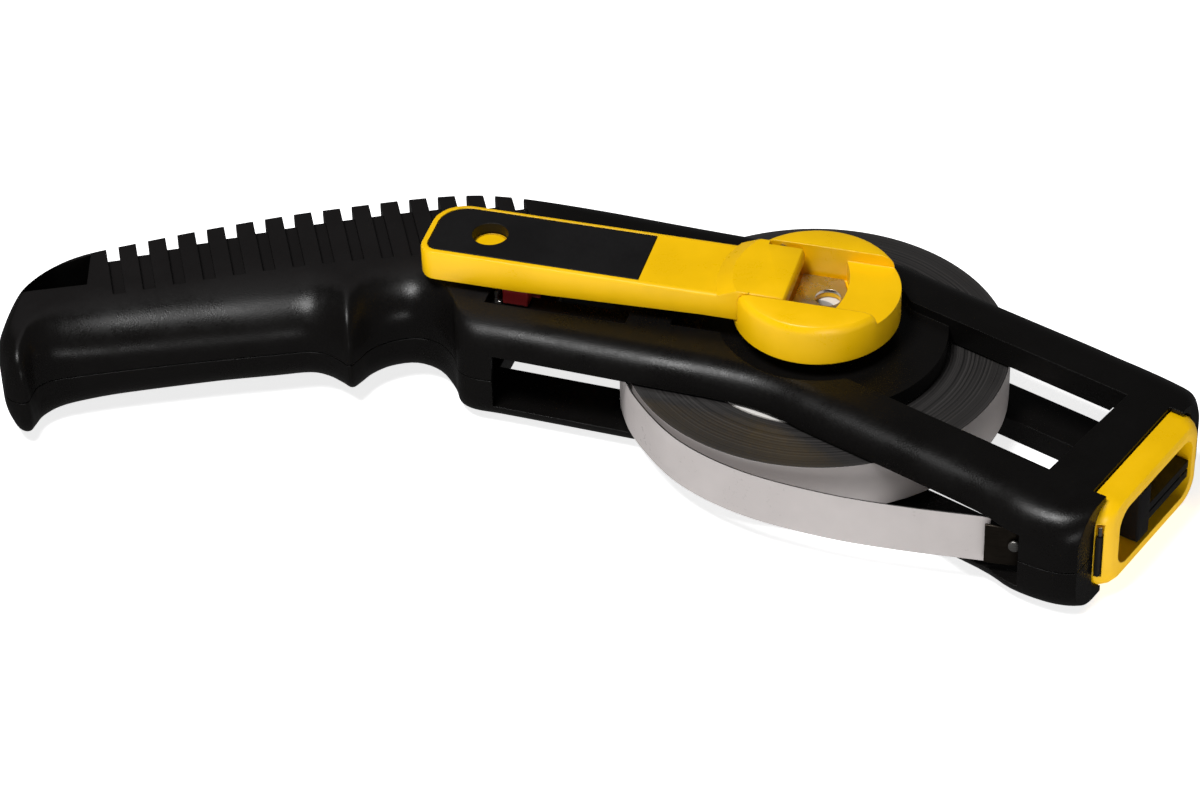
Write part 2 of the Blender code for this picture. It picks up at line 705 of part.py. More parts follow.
def hub_disc():
    """The yellow boss that holds the crank between two cheeks."""
    profile = (
        (0.0, DISC_TOP),
        (DISC_RADIUS - 2.2, DISC_TOP),
        (DISC_RADIUS - 1.0, DISC_TOP - 0.5),
        (DISC_RADIUS - 0.3, DISC_TOP - 1.4),
        (DISC_RADIUS, DISC_TOP - 2.6),
        (DISC_RADIUS, DISC_LOW + 0.6),
        (DISC_RADIUS - 0.6, DISC_LOW),
        (0.0, DISC_LOW),
    )
    piece = turned("hub_disc", profile, (YELLOW, 0.38), REEL, steps=64)
    low, high = CHANNEL
    cut(piece, box("shelf", (0, low, SHELF_HEIGHT), (30, high, 40), parent=REEL))
    cut(piece, box("channel", (-30, low, CHANNEL_FLOOR), (0.5, high, 40), parent=REEL))
    cut(piece, flat_piece("well", well_outline(), CHANNEL_FLOOR, 40, parent=REEL))
    cut(piece, rod("neck_socket", NECK_RADIUS + GAP, 0, 16.3, parent=REEL, sides=32))
    cut(piece, rod("screw_way", 3.2, 10, 20, parent=REEL, place=HOLE_PLACE, sides=20))
    cut(piece, cross_rod("pin_way", PIN_RADIUS + 0.15, 15.1, PIN_REACH, PIN_HEIGHT, parent=REEL))
    return piece


def well_outline():
    """The well ends towards the nose in a shallow arc."""
    low, high = CHANNEL
    middle, half = (low + high) / 2, (high - low) / 2
    outline = [(0.0, low)]
    for step in range(9):
        share = step / 4 - 1
        outline.append((WELL_END - 2.6 * share**2, middle + half * share))
    outline.append((0.0, high))
    return outline


def hub_hardware():
    """The steel plate in the well, the screw that holds the drum on, and the crank's pin."""
    outline = [(x - 0.5, y * 0.93) for x, y in well_outline()[1:-1]]
    outline += [(-5.8, CHANNEL[1] - 0.8), (-5.8, CHANNEL[0] + 0.8)]
    low, high = CHANNEL_FLOOR + 0.2, CHANNEL_FLOOR + 1.0
    plate = flat_piece("hub_plate", outline, low, high, (STEEL, 0.3, 1.0), REEL)
    cut(plate, rod("plate_hole", 3.15, 10, 30, parent=REEL, place=HOLE_PLACE, sides=28))
    screw = ((0.0, 11.8), (3.6, 11.8), (4.4, 11.2), (4.4, 9.6), (0.0, 9.6))
    turned("hub_screw", screw, (DARK_STEEL, 0.35, 1.0), REEL, steps=24)
    look = (STEEL, 0.25, 1.0)
    cross_rod("crank_pin", PIN_RADIUS, 14.8, PIN_REACH, PIN_HEIGHT, look, REEL)


# ---------------------------------------------------------------- the crank
def crank_side():
    """The crank's side view, as (along, height) from its pin: bar, crown, and round knuckle."""
    base = 17.8 - PIN_HEIGHT
    tip = 16.2 - PIN_HEIGHT
    top = CRANK_TOP - PIN_HEIGHT
    crown = DISC_TOP - PIN_HEIGHT
    radius = 5.8
    end = CRANK_END - PIN_REACH
    outline = [(end, tip), (end + 25.0, tip), (-15.0, base), (-4.0, base)]
    first = math.radians(282)
    last = 2 * math.pi + math.asin(crown / radius)
    for step in range(9):
        angle = first + (last - first) * step / 8
        outline.append((radius * math.cos(angle), radius * math.sin(angle)))
    return [*outline, (-4.0, crown), (-4.0, top), (end, top)]


def end_outline(end, half, near_radius, far_radius, stop):
    """A bar's plan with unlike corners at its outer end; the stop is its end at the hub."""
    outline = []
    corners = (
        (end + far_radius, half - far_radius, 90, far_radius),
        (end + near_radius, near_radius - half, 180, near_radius),
    )
    for x, y, start, radius in corners:
        for step in range(7):
            angle = math.radians(start + 90 * step / 6)
            outline.append((x + radius * math.cos(angle), y + radius * math.sin(angle)))
    return [*outline, (stop, -half), (stop, half)]


def crank_block():
    """The raised block at the hub, whose outer end follows the disc's edge and slopes down."""
    profile = ((0.0, DISC_TOP), (19.8, DISC_TOP), (23.8, CRANK_TOP - 0.1), (23.8, 22.0), (0.0, 22.0))
    lowered = [(r, z - PIN_HEIGHT) for r, z in profile]
    block = turned("crank_block", lowered, parent=CRANK, steps=64)
    block.location = metres(-PIN_REACH, 0.0, 0.0)
    trim = box("block_trim", (-14.0, *CROWN_LOW), (-3.0, *CROWN_HIGH), parent=CRANK)
    boolean(block, trim, "INTERSECT")
    return block


def crank_arm():
    side = [(-x, z) for x, z in crank_side()]
    piece = flat_piece("crank_arm", side, -14.0, 14.0, (YELLOW, 0.38), CRANK)
    upright = Matrix(((-1, 0, 0, 0), (0, 0, 1, 0), (0, 1, 0, 0), (0, 0, 0, 1)))
    piece.data.transform(upright)
    end = CRANK_END - PIN_REACH
    outline = end_outline(end, CRANK_HALF, 4.0, 8.0, 10.0)
    boolean(piece, flat_piece("crank_plan", outline, -20, 20, parent=CRANK), "INTERSECT")
    bevel(piece, 0.8, segments=2, angle=50)
    join(piece, crank_block())
    knob = KNOB_REACH - PIN_REACH
    cut(piece, flat_piece("cover_seat", cover_outline(0.0), 23.3 - PIN_HEIGHT, 9, parent=CRANK))
    low, high = (-60.0, -8.3, -20.0), (-17.0, 8.3, 21.6 - PIN_HEIGHT)
    cut(piece, box("crank_hollow", low, high, parent=CRANK))
    place = (knob, 0.0)
    cut(piece, rod("cup_seat", 8.5, -20, 19.3 - PIN_HEIGHT, parent=CRANK, place=place))
    cut(piece, rod("collar_seat", 6.0, 21.4 - PIN_HEIGHT, 9, parent=CRANK, place=place))
    cut(piece, rod("spindle_seat", 4.4, -20, 9, parent=CRANK, place=place))
    cut(piece, cross_rod("pin_bore", PIN_RADIUS + 0.3, 16, 0.0, 0.0, parent=CRANK))
    return piece


def cover_outline(inset):
    """The black cover plate's outline on the crank, from its pin."""
    end = CRANK_END - PIN_REACH + 1.6 + inset
    half = 9.0 - inset
    return end_outline(end, half, 2.6, 7.0, -30.0 - inset)


def cover_plate():
    """The flush cover on the crank, with a collar round the knob's spindle."""
    low, high = 23.5 - PIN_HEIGHT, CRANK_TOP - PIN_HEIGHT
    piece = flat_piece("cover_plate", cover_outline(0.25), low, high, (GREY_BLACK, 0.45), CRANK)
    place = (KNOB_REACH - PIN_REACH, 0.0)
    join(piece, rod("collar", 5.7, 21.7 - PIN_HEIGHT, low + 0.4, parent=CRANK, place=place))
    cut(piece, rod("collar_bore", 4.4, -20, 20, parent=CRANK, place=place))
    return piece


def knob_pieces():
    """The spindle fixed in the crank, and the dished finger knob that turns on it."""
    spindle = (
        (0.0, 21.4),
        (4.1, 21.4),
        (4.1, 19.4),
        (2.4, 19.4),
        (2.4, 17.5),
        (3.9, 17.5),
        (3.9, 16.7),
        (0.0, 16.7),
    )
    lowered = [(r, z - PIN_HEIGHT) for r, z in spindle]
    pin = turned("knob_spindle", lowered, (YELLOW, 0.38), CRANK, steps=28)
    pin.location = metres(KNOB_REACH - PIN_REACH, 0.0, 0.0)
    knob = (
        (2.7, 19.1),
        (8.1, 19.1),
        (8.1, 16.4),
        (7.7, 16.0),
        (6.8, 16.0),
        (5.2, 16.9),
        (4.2, 16.4),
        (4.2, 17.8),
        (2.7, 17.8),
    )
    turned("finger_knob", [(r, z - PIN_HEIGHT) for r, z in knob], (BLACK, 0.45), KNOB, steps=36)


# ---------------------------------------------------------------- the tape lock
def lock_pieces():
    """The red thumb slide, its carriage between the plates, the brake pad and the spring."""
    slide = box("lock_slide", (-3.2, -8.6, 10.9), (3.2, 8.6, 15.6), (RED, 0.4), LOCK, 0.5)
    join(slide, box("slide_stem", (-2.8, -3.3, 3.4), (2.8, 3.3, 11.6), parent=LOCK))
    carriage = box("lock_carriage", (-9.4, -8.2, -5.8), (4.6, 8.2, 5.4), (BLACK, 0.5), LOCK, 0.6)
    cut(carriage, box("stem_seat", (-3.1, -3.6, 3.1), (3.1, 3.6, 9.0), parent=LOCK))
    box("brake_pad", (4.9, -6.0, -5.0), (7.0, 6.0, 5.0), (GREY_BLACK, 0.95), LOCK, 0.3)
    leaf = box("detent_spring", (-77.0, -8.6, 10.8), (-76.3, -4.2, 14.2), (STEEL, 0.3, 1.0), STOWED)
    foot = box("spring_foot", (-77.0, -8.6, 10.8), (-75.4, -4.2, 11.5), parent=STOWED)
    join(leaf, foot)


# ---------------------------------------------------------------- assembly
FRAME = axis_empty("frame_middle", (0, 0, 0))
MOUTH = axis_empty("mouth_direction", (0, 0, 0), MOUTH_ANGLE)
STOWED = axis_empty("stowed_crank_direction", (0, 0, 0), CRANK_ANGLE)
REEL = axis_empty("reel_axis", (0, 0, 0), CRANK_ANGLE)
CRANK = axis_empty(
    "crank_axis", (*in_plan(CRANK_ANGLE, PIN_REACH, 0.0), PIN_HEIGHT), CRANK_ANGLE
)
KNOB = axis_empty(
    "knob_axis", (*in_plan(CRANK_ANGLE, KNOB_REACH, 0.0), PIN_HEIGHT), CRANK_ANGLE
)
LOCK = axis_empty("lock_track", (*in_plan(CRANK_ANGLE, -71.9, 0.0), 0), CRANK_ANGLE)

top_shell()
bottom_shell()
case_screws()
mouthpiece()
mouth_trim()
tape_hook()
tape_and_leader()
bearings()
drum()
tape_coil()
hub_disc()
hub_hardware()
crank_arm()
cover_plate()
knob_pieces()
lock_pieces()
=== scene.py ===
"""Looks of the surveyor's tape reel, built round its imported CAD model.

Each visible piece is made again at a finer resolution in its CAD node's place, and the hidden
ones keep their CAD mesh. Numbers in the tables are millimetres, and heights in them are measured
from the tape's middle plane; MM and MID turn both into metres.
"""

import json
import math

import bmesh
import bpy
from mathutils import Matrix, Vector

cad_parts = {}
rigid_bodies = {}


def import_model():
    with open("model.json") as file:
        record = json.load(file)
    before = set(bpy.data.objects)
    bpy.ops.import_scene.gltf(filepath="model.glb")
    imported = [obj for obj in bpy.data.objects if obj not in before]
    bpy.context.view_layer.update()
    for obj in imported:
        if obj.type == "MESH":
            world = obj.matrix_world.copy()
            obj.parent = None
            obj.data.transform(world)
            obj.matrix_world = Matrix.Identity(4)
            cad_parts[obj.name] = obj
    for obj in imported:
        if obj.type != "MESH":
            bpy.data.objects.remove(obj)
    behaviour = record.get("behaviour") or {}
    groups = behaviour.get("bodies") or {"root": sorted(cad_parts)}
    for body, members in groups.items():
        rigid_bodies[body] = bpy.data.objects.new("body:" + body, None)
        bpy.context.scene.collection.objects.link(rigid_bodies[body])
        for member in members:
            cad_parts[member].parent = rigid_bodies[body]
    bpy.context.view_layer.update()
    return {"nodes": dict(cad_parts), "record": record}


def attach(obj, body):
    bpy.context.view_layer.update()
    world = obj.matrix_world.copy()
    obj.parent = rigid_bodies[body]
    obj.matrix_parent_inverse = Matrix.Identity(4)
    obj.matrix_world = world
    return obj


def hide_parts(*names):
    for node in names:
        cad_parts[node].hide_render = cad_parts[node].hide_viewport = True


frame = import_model()
BODY_OF = {n: body for body, members in frame["record"]["behaviour"]["bodies"].items() for n in members}
SLOT_OF = {row["node"]: row["material_slot"] for row in frame["record"]["subparts"]}
WORKSHOP = bpy.data.collections.new("workshop")
bpy.context.scene.collection.children.link(WORKSHOP)
DRAFTS = []
STEPS = 4  # cross-sections for each station of the frame's outline
SHARP_ANGLE = 24.0  # degrees; a crease at least this steep is shaded as an edge
WELD_DISTANCE = 0.000002  # metres; points closer than this become one
SLIVER = 0.000001  # metres; shorter edges are dissolved

MM = 0.001

# ---------------------------------------------------------------- driving dimensions, mm
HALF_THICKNESS = 14.0  # middle plane to the frame's outer faces
MID = HALF_THICKNESS
GAP = 0.3  # clearance between touching pieces
SHELL_WALL = 2.8
BAY_HEIGHTS = (-8.0, 7.3)  # the space between the plates, for the coil
FLOOR_HEIGHT = 11.5  # sunken floor round the hub disc

TAPE_WIDTH = 13.0
TAPE_THICKNESS = 0.35
COIL_RADIUS = 46.0
COIL_BORE = 30.7
NECK_RADIUS = 8.0

DISC_RADIUS = 19.8
DISC_LOW = 15.3
DISC_TOP = 26.5
CHANNEL = (-10.7, 11.6)  # its two walls, across the crank's direction
CHANNEL_FLOOR = 17.4
SHELF_HEIGHT = 23.4
WELL_END = 7.2
HOLE_PLACE = (2.0, 3.0)  # the way to the hub screw, a little off the axis

CRANK_ANGLE = -17.0  # degrees, direction of the stowed crank from its end to the hub
CRANK_HALF = 10.3
CROWN_LOW = (-10.3, -9.0)  # the raised block's side and foot, from the crank's pin
CROWN_HIGH = (11.2, 9.0)
CRANK_TOP = 24.6
CRANK_END = -95.5
KNOB_REACH = -80.2
PIN_REACH = -11.0
PIN_HEIGHT = 24.2
PIN_RADIUS = 1.1

NOSE_ANGLE = -39.0
MOUTH_ANGLE = -36.0
MOUTH_BACK = 85.4
MOUTH_FRONT = 92.2
SHELL_FRONT = 88.8

TROUGH = (-78.2, -43.4)  # along the crank's direction
TROUGH_FLOOR = 10.5

RIB_COUNT = 15
RIB_PITCH = 7.06
RIB_DIRECTION = (-0.165, 0.9863)  # across the grip, towards its spine
GROOVE_WIDTH = 3.0
FIRST_GROOVE = -169.5  # middle of the groove nearest to the butt

# Stations of the frame's outline, from the nose to the butt: a point of the near side, the
# point of the far side across from it, half the thickness there, and how far in the roundings
# of the near and the far corner reach.
STATIONS = (
    ((58.2, -74.0), (86.6, -32.0), 14.0, 8.0, 8.8),
    ((55.6, -77.0), (86.2, -27.0), 14.0, 8.0, 8.8),
    ((50.8, -77.7), (82.2, -22.6), 14.0, 8.5, 8.8),
    ((45.4, -75.8), (76.2, -17.4), 14.0, 8.5, 8.8),
    ((38.6, -71.2), (70.5, -12.8), 14.0, 8.5, 8.8),
    ((32.0, -64.0), (64.0, -7.4), 14.0, 8.5, 8.8),
    ((12.6, -47.9), (46.0, 7.0), 14.0, 8.5, 8.8),
    ((-4.0, -34.6), (31.5, 18.7), 14.0, 8.5, 8.8),
    ((-13.6, -26.6), (21.6, 26.4), 14.0, 8.5, 8.8),
    ((-24.0, -21.3), (5.0, 32.3), 14.0, 8.5, 8.8),
    ((-44.1, -14.1), (-26.0, 43.3), 14.0, 8.5, 8.8),
    ((-64.0, -7.0), (-48.0, 50.4), 14.0, 8.5, 7.4),
    ((-76.1, -2.7), (-66.0, 53.9), 14.0, 8.5, 4.0),
    ((-82.3, -0.6), (-76.5, 55.6), 14.0, 8.5, 3.0),
    ((-85.3, 2.4), (-83.0, 56.1), 14.0, 8.5, 3.0),
    ((-86.4, 7.4), (-88.0, 56.0), 14.0, 8.8, 3.0),
    ((-89.8, 12.9), (-93.0, 55.6), 14.0, 12.0, 3.0),
    ((-95.5, 15.5), (-98.0, 55.0), 14.0, 14.0, 3.0),
    ((-101.9, 14.3), (-103.5, 54.2), 14.0, 15.0, 3.0),
    ((-106.6, 11.4), (-107.8, 53.5), 14.0, 15.0, 3.0),
    ((-109.2, 7.8), (-110.4, 53.1), 14.0, 16.0, 3.0),
    ((-111.3, 5.4), (-112.6, 52.7), 14.0, 17.0, 3.0),
    ((-113.6, 7.4), (-115.0, 52.3), 14.0, 17.0, 3.0),
    ((-117.0, 10.2), (-118.4, 51.7), 14.0, 17.0, 3.0),
    ((-121.5, 11.4), (-123.0, 50.9), 14.0, 18.0, 3.0),
    ((-130.0, 10.6), (-131.0, 49.2), 14.0, 18.0, 3.0),
    ((-147.4, 8.8), (-147.6, 45.1), 14.0, 18.0, 3.0),
    ((-166.4, 6.3), (-163.0, 40.7), 14.0, 17.0, 3.0),
    ((-176.0, 4.8), (-175.8, 36.9), 14.0, 15.0, 3.4),
    ((-181.8, 3.6), (-183.4, 32.8), 14.0, 12.5, 4.5),
    ((-185.4, 1.4), (-189.0, 27.4), 14.0, 10.0, 6.0),
    ((-186.6, -1.4), (-192.0, 22.4), 13.6, 8.5, 7.5),
    ((-187.4, -4.4), (-194.4, 13.2), 12.6, 7.0, 7.5),
    ((-189.2, -5.0), (-194.9, 7.0), 10.6, 5.2, 5.2),
    ((-191.4, -3.8), (-194.2, 2.4), 6.5, 2.6, 2.6),
    ((-192.8, -2.4), (-193.6, 0.2), 3.0, 1.0, 1.0),
)
CAVITY_STATIONS = (17, 27)  # the hollow of the grip runs between these two stations
CAVITY_FAR_WALL = 6.2  # thicker, because the rib grooves bite into it

# The route of the tape's outer turn, from under the frame round the coil to the nose.
LEAD_ROUTE = (
    (-46.6, -5.6),
    (-43.5, -17.6),
    (-34.4, -33.6),
    (-20.6, -45.6),
    (-2.6, -54.4),
    (15.2, -60.1),
    (35.2, -64.9),
)
LEADER_ROUTE = (
    (33.6, -65.2),
    (39.6, -66.7),
    (46.0, -66.8),
    (53.0, -63.6),
    (58.6, -59.2),
    (62.9, -56.2),
)
RIVET_PLACE = (40.4, -66.8)

LANYARD_HOLE = ((-174.2, 22.6), (-174.2, 34.6), (-183.0, 30.2), (-187.4, 25.6), (-190.0, 20.4))
SCREW_PLACES = (
    (-160.0, 27.0),
    (-134.0, 31.0),
    (-108.0, 36.0),
    (-82.4, 47.5),
    (-82.3, 9.5),
    (80.1, -28.4),
)
BODY_ANGLE = -19.5
WINDOW = (74.3, -14.3, 18.6)  # its end along the nose's direction, and its two sides
GRIP_WINDOW = (-75.8, -12.6, 16.4)  # the same along the body, in the lower shell only
HUB_PLATE_RADIUS = 31.2
BAY = (-77.4, 77.4)  # its end at the grip, along X, and at the nose, along the nose's direction


# ---------------------------------------------------------------- materials
def node_of(tree, kind, **inputs):
    """A shader node with some of its inputs set or linked; an underscore stands for a space."""
    node = tree.nodes.new("ShaderNode" + kind)
    for name, value in inputs.items():
        socket = node.inputs[name.replace("_", " ")]
        if isinstance(value, bpy.types.NodeSocket):
            tree.links.new(value, socket)
        else:
            socket.default_value = value
    return node


def spread(tree, value, low, high, out_low, out_high):
    """A value mapped smoothly from one range to another."""
    node = tree.nodes.new("ShaderNodeMapRange")
    node.interpolation_type = "SMOOTHSTEP"
    tree.links.new(value, node.inputs["Value"])
    for name, number in zip(
        ("From Min", "From Max", "To Min", "To Max"), (low, high, out_low, out_high)
    ):
        node.inputs[name].default_value = number
    return node.outputs["Result"]


def blend_colours(tree, share, first, second):
    """A mix of two colours, each a tuple or a socket."""
    node = tree.nodes.new("ShaderNodeMix")
    node.data_type = "RGBA"
    tree.links.new(share, node.inputs["Factor"])
    for socket, value in zip((node.inputs[6], node.inputs[7]), (first, second)):
        if isinstance(value, bpy.types.NodeSocket):
            tree.links.new(value, socket)
        else:
            socket.default_value = (*value, 1.0)
    return node.outputs[2]


def combine(tree, operation, first, second):
    node = tree.nodes.new("ShaderNodeMath")
    node.operation = operation
    for socket, value in zip(node.inputs, (first, second)):
        if isinstance(value, bpy.types.NodeSocket):
            tree.links.new(value, socket)
        else:
            socket.default_value = value
    return node.outputs[0]


def noise(tree, place, scale, detail=3.0, roughness=0.55):
    made = node_of(tree, "TexNoise", Vector=place, Scale=scale, Detail=detail, Roughness=roughness)
    return made.outputs["Fac"]


def edge_mask(tree, radius):
    """How close the surface is to an edge, and its normal with that edge rounded."""
    rounded = node_of(tree, "Bevel", Radius=radius)
    rounded.samples = 6
    plain = tree.nodes.new("ShaderNodeNewGeometry")
    dot = tree.nodes.new("ShaderNodeVectorMath")
    dot.operation = "DOT_PRODUCT"
    tree.links.new(rounded.outputs[0], dot.inputs[0])
    tree.links.new(plain.outputs["Normal"], dot.inputs[1])
    return spread(tree, dot.outputs["Value"], 0.995, 0.82, 0.0, 1.0), rounded.outputs[0]


def finish_of(name, colour, worn, roughness, grain, metallic=0.0, specular=0.5, edge=0.00035):
    """A moulded or metal surface: blotchy colour, fine grain, soft edges that are rubbed paler."""
    made = bpy.data.materials.new(name)
    made.use_nodes = True
    tree = made.node_tree
    shader = tree.nodes["Principled BSDF"]
    place = tree.nodes.new("ShaderNodeTexCoord").outputs["Object"]
    blotch = noise(tree, place, 70.0)
    dust = noise(tree, place, 900.0, 5.0, 0.7)
    rubbed, rounded = edge_mask(tree, edge)
    patchy = combine(tree, "MULTIPLY", rubbed, spread(tree, dust, 0.42, 0.62, 0.1, 0.8))
    darker = tuple(0.95 * part for part in colour)
    lighter = tuple(min(1.0, 1.04 * part) for part in colour)
    body = blend_colours(tree, spread(tree, blotch, 0.3, 0.7, 0.0, 1.0), darker, lighter)
    tree.links.new(blend_colours(tree, patchy, body, worn), shader.inputs["Base Color"])
    smear = combine(tree, "ADD", spread(tree, blotch, 0.35, 0.65, -0.05, 0.05), roughness)
    shine = combine(tree, "ADD", smear, spread(tree, dust, 0.3, 0.7, -0.03, 0.05))
    tree.links.new(shine, shader.inputs["Roughness"])
    fine = noise(tree, place, grain[0], 2.0)
    bump = node_of(tree, "Bump", Strength=grain[1], Distance=0.0001, Height=fine, Normal=rounded)
    tree.links.new(bump.outputs[0], shader.inputs["Normal"])
    shader.inputs["Metallic"].default_value = metallic
    shader.inputs["Specular IOR Level"].default_value = specular
    return made


def black_plastic():
    """Satin moulded black; the flat band along the ribs is matt, and a paler colour is painted on its
    up-facing faces as painted reflection of the light from above.
    """
    made = finish_of(
        "black_plastic", SHELL_BLACK, (0.008, 0.0076, 0.0072), 0.30, (2600.0, 0.3), specular=0.16
    )
    tree = made.node_tree
    shader = tree.nodes["Principled BSDF"]
    place = tree.nodes.new("ShaderNodeTexCoord").outputs["Object"]
    facing = tree.nodes.new("ShaderNodeNewGeometry").outputs["Normal"]
    axes = node_of(tree, "SeparateXYZ", Vector=place)
    slope = node_of(tree, "SeparateXYZ", Vector=facing)
    on_grip = spread(tree, axes.outputs["X"], -0.058, -0.076, 0.0, 1.0)
    level = spread(tree, slope.outputs["Z"], 0.90, 0.985, 0.0, 1.0)
    high = spread(tree, axes.outputs["Z"], 0.0225, 0.0255, 0.0, 1.0)
    # The band is the up-facing flat top high on the grip: its paler colour is painted reflection, and
    # its higher roughness is the band's real matt finish.
    matt_band_and_sheen = combine(tree, "MULTIPLY", combine(tree, "MULTIPLY", on_grip, level), high)
    old = shader.inputs["Base Color"].links[0].from_socket
    tree.links.new(blend_colours(tree, matt_band_and_sheen, old, BAND_PAINTED_SHEEN), shader.inputs["Base Color"])
    shine = shader.inputs["Roughness"].links[0].from_socket
    duller = combine(tree, "ADD", shine, combine(tree, "MULTIPLY", matt_band_and_sheen, 0.2))
    tree.links.new(duller, shader.inputs["Roughness"])
    return made


def tape_steel():
    """White-grey lacquered steel, with the turns of the coil drawn finely on its sides."""
    made = finish_of(
        "tape_steel", TAPE_WHITE, (0.45, 0.43, 0.41), 0.34, (1400.0, 0.1), specular=0.5
    )
    tree = made.node_tree
    shader = tree.nodes["Principled BSDF"]
    place = tree.nodes.new("ShaderNodeTexCoord").outputs["Object"]
    axes = node_of(tree, "SeparateXYZ", Vector=place)
    flat = node_of(tree, "CombineXYZ", X=axes.outputs["X"], Y=axes.outputs["Y"])
    length = tree.nodes.new("ShaderNodeVectorMath")
    length.operation = "LENGTH"
    tree.links.new(flat.outputs[0], length.inputs[0])
    radius = length.outputs["Value"]
    drift = noise(tree, flat.outputs[0], 60.0, 2.0)
    wobble = combine(tree, "ADD", radius, combine(tree, "MULTIPLY", drift, 0.0008))
    ring = node_of(tree, "CombineXYZ", X=wobble)
    lines = noise(tree, ring.outputs[0], 1900.0, 6.0, 0.75)
    facing = tree.nodes.new("ShaderNodeNewGeometry").outputs["Normal"]
    slope = node_of(tree, "SeparateXYZ", Vector=facing)
    level = combine(tree, "ABSOLUTE", slope.outputs["Z"], 0.0)
    side = spread(tree, level, 0.7, 0.95, 0.0, 1.0)
    turns = blend_colours(tree, spread(tree, lines, 0.38, 0.72, 0.0, 1.0), COIL_DARK, COIL_SIDE)
    old = shader.inputs["Base Color"].links[0].from_socket
    tree.links.new(blend_colours(tree, side, old, turns), shader.inputs["Base Color"])
    return made


def brushed(name, colour, worn, roughness):
    """Bright or browned steel with fine drawn lines."""
    made = finish_of(
        name, colour, worn, roughness, (1100.0, 0.12), metallic=1.0, edge=0.0002
    )
    tree = made.node_tree
    shader = tree.nodes["Principled BSDF"]
    place = tree.nodes.new("ShaderNodeTexCoord").outputs["Object"]
    stretched = node_of(tree, "Mapping", Vector=place, Scale=(220.0, 220.0, 5200.0))
    lines = noise(tree, stretched.outputs[0], 1.0, 2.0)
    old = shader.inputs["Roughness"].links[0].from_socket
    streaky = combine(tree, "ADD", old, spread(tree, lines, 0.3, 0.7, -0.06, 0.1))
    tree.links.new(streaky, shader.inputs["Roughness"])
    return made


SHELL_BLACK = (0.0040, 0.0036, 0.0034)
# Painted reflection: the paler black painted on the grip's up-facing band.
BAND_PAINTED_SHEEN = (0.0075, 0.0066, 0.0066)
TRIM_BLACK = (0.0062, 0.0058, 0.0060)
YELLOW = (0.95, 0.55, 0.0)
RED = (0.30, 0.016, 0.018)
TAPE_WHITE = (0.45, 0.415, 0.405)
COIL_SIDE = (0.085, 0.079, 0.077)
COIL_DARK = (0.004, 0.004, 0.004)
PALE = (0.74, 0.72, 0.69)

MATERIALS = {
    "black_plastic": black_plastic(),
    "yellow_plastic": finish_of(
        "yellow_plastic", YELLOW, (1.0, 0.68, 0.06), 0.33, (1900.0, 0.12), specular=0.4
    ),
    "trim_plastic": finish_of(
        "trim_plastic", TRIM_BLACK, (0.013, 0.012, 0.012), 0.45, (3200.0, 0.5), specular=0.25
    ),
    "pale_plastic": finish_of("pale_plastic", PALE, (0.80, 0.78, 0.75), 0.5, (1900.0, 0.2)),
    "red_plastic": finish_of("red_plastic", RED, (0.45, 0.05, 0.04), 0.38, (1900.0, 0.15)),
    "rubber": finish_of(
        "rubber", (0.012, 0.011, 0.010), (0.05, 0.04, 0.035), 0.72, (1500.0, 0.8), specular=0.3
    ),
    "tape_steel": tape_steel(),
    "steel": brushed("steel", (0.60, 0.58, 0.55), (0.80, 0.78, 0.74), 0.27),
    "dark_steel": brushed("dark_steel", (0.085, 0.070, 0.055), (0.30, 0.26, 0.22), 0.36),
}


# ---------------------------------------------------------------- shape helpers
def turn(degrees):
    return Matrix.Rotation(math.radians(degrees), 4, "Z")


def in_plan(angle, along, across):
    """The plan point that lies so far along and across a direction through the origin."""
    return tuple((turn(angle) @ Vector((along, across, 0.0))).xy)


def metres(x, y, z):
    return Vector((x, y, z)) * MM


def axis_empty(name, location, angle=0.0):
    """An empty on a joint's axis or a station of the frame; z counts from the middle plane."""
    empty = bpy.data.objects.new(name, None)
    WORKSHOP.objects.link(empty)
    empty.location = metres(location[0], location[1], location[2] + MID)
    empty.rotation_euler = (0.0, 0.0, math.radians(angle))
    return empty


def object_of(name, mesh, look=None, parent=None):
    """A mesh as a draft: a visible piece if it has a look, or else a cutter."""
    draft = bpy.data.objects.new(name + "_draft", mesh)
    WORKSHOP.objects.link(draft)
    draft.parent = parent
    if look:
        DRAFTS.append((name, draft, look))
    return draft


def mesh_of(shape, name):
    bmesh.ops.recalc_face_normals(shape, faces=shape.faces)
    mesh = bpy.data.meshes.new(name)
    shape.to_mesh(mesh)
    shape.free()
    return mesh


def box(name, low, high, look=None, parent=None, edge=0.0):
    """A box between two corners in mm, its edges rounded by a Bevel modifier."""
    shape = bmesh.new()
    bmesh.ops.create_cube(shape, size=1.0)
    size = [b - a for a, b in zip(low, high)]
    middle = [(a + b) / 2 for a, b in zip(low, high)]
    for corner in shape.verts:
        corner.co = metres(*(m + c * s for m, c, s in zip(middle, corner.co, size)))
    piece = object_of(name, mesh_of(shape, name), look, parent)
    if edge:
        bevel(piece, edge)
    return piece


def rod(name, radius, low, high, look=None, parent=None, place=(0.0, 0.0), sides=72):
    """An upright cylinder."""
    shape = bmesh.new()
    bmesh.ops.create_cone(
        shape,
        cap_ends=True,
        segments=sides,
        radius1=radius * MM,
        radius2=radius * MM,
        depth=(high - low) * MM,
    )
    bmesh.ops.translate(shape, verts=shape.verts, vec=metres(*place, (low + high) / 2))
    return object_of(name, mesh_of(shape, name), look, parent)


def cross_rod(name, radius, half_length, along, height, look=None, parent=None, sides=48):
    """A cylinder that lies across its parent's direction."""
    piece = rod(name, radius, -half_length, half_length, look, parent, sides=sides)
    piece.location = metres(along, 0.0, height)
    piece.rotation_euler = (math.radians(90), 0.0, 0.0)
    return piece


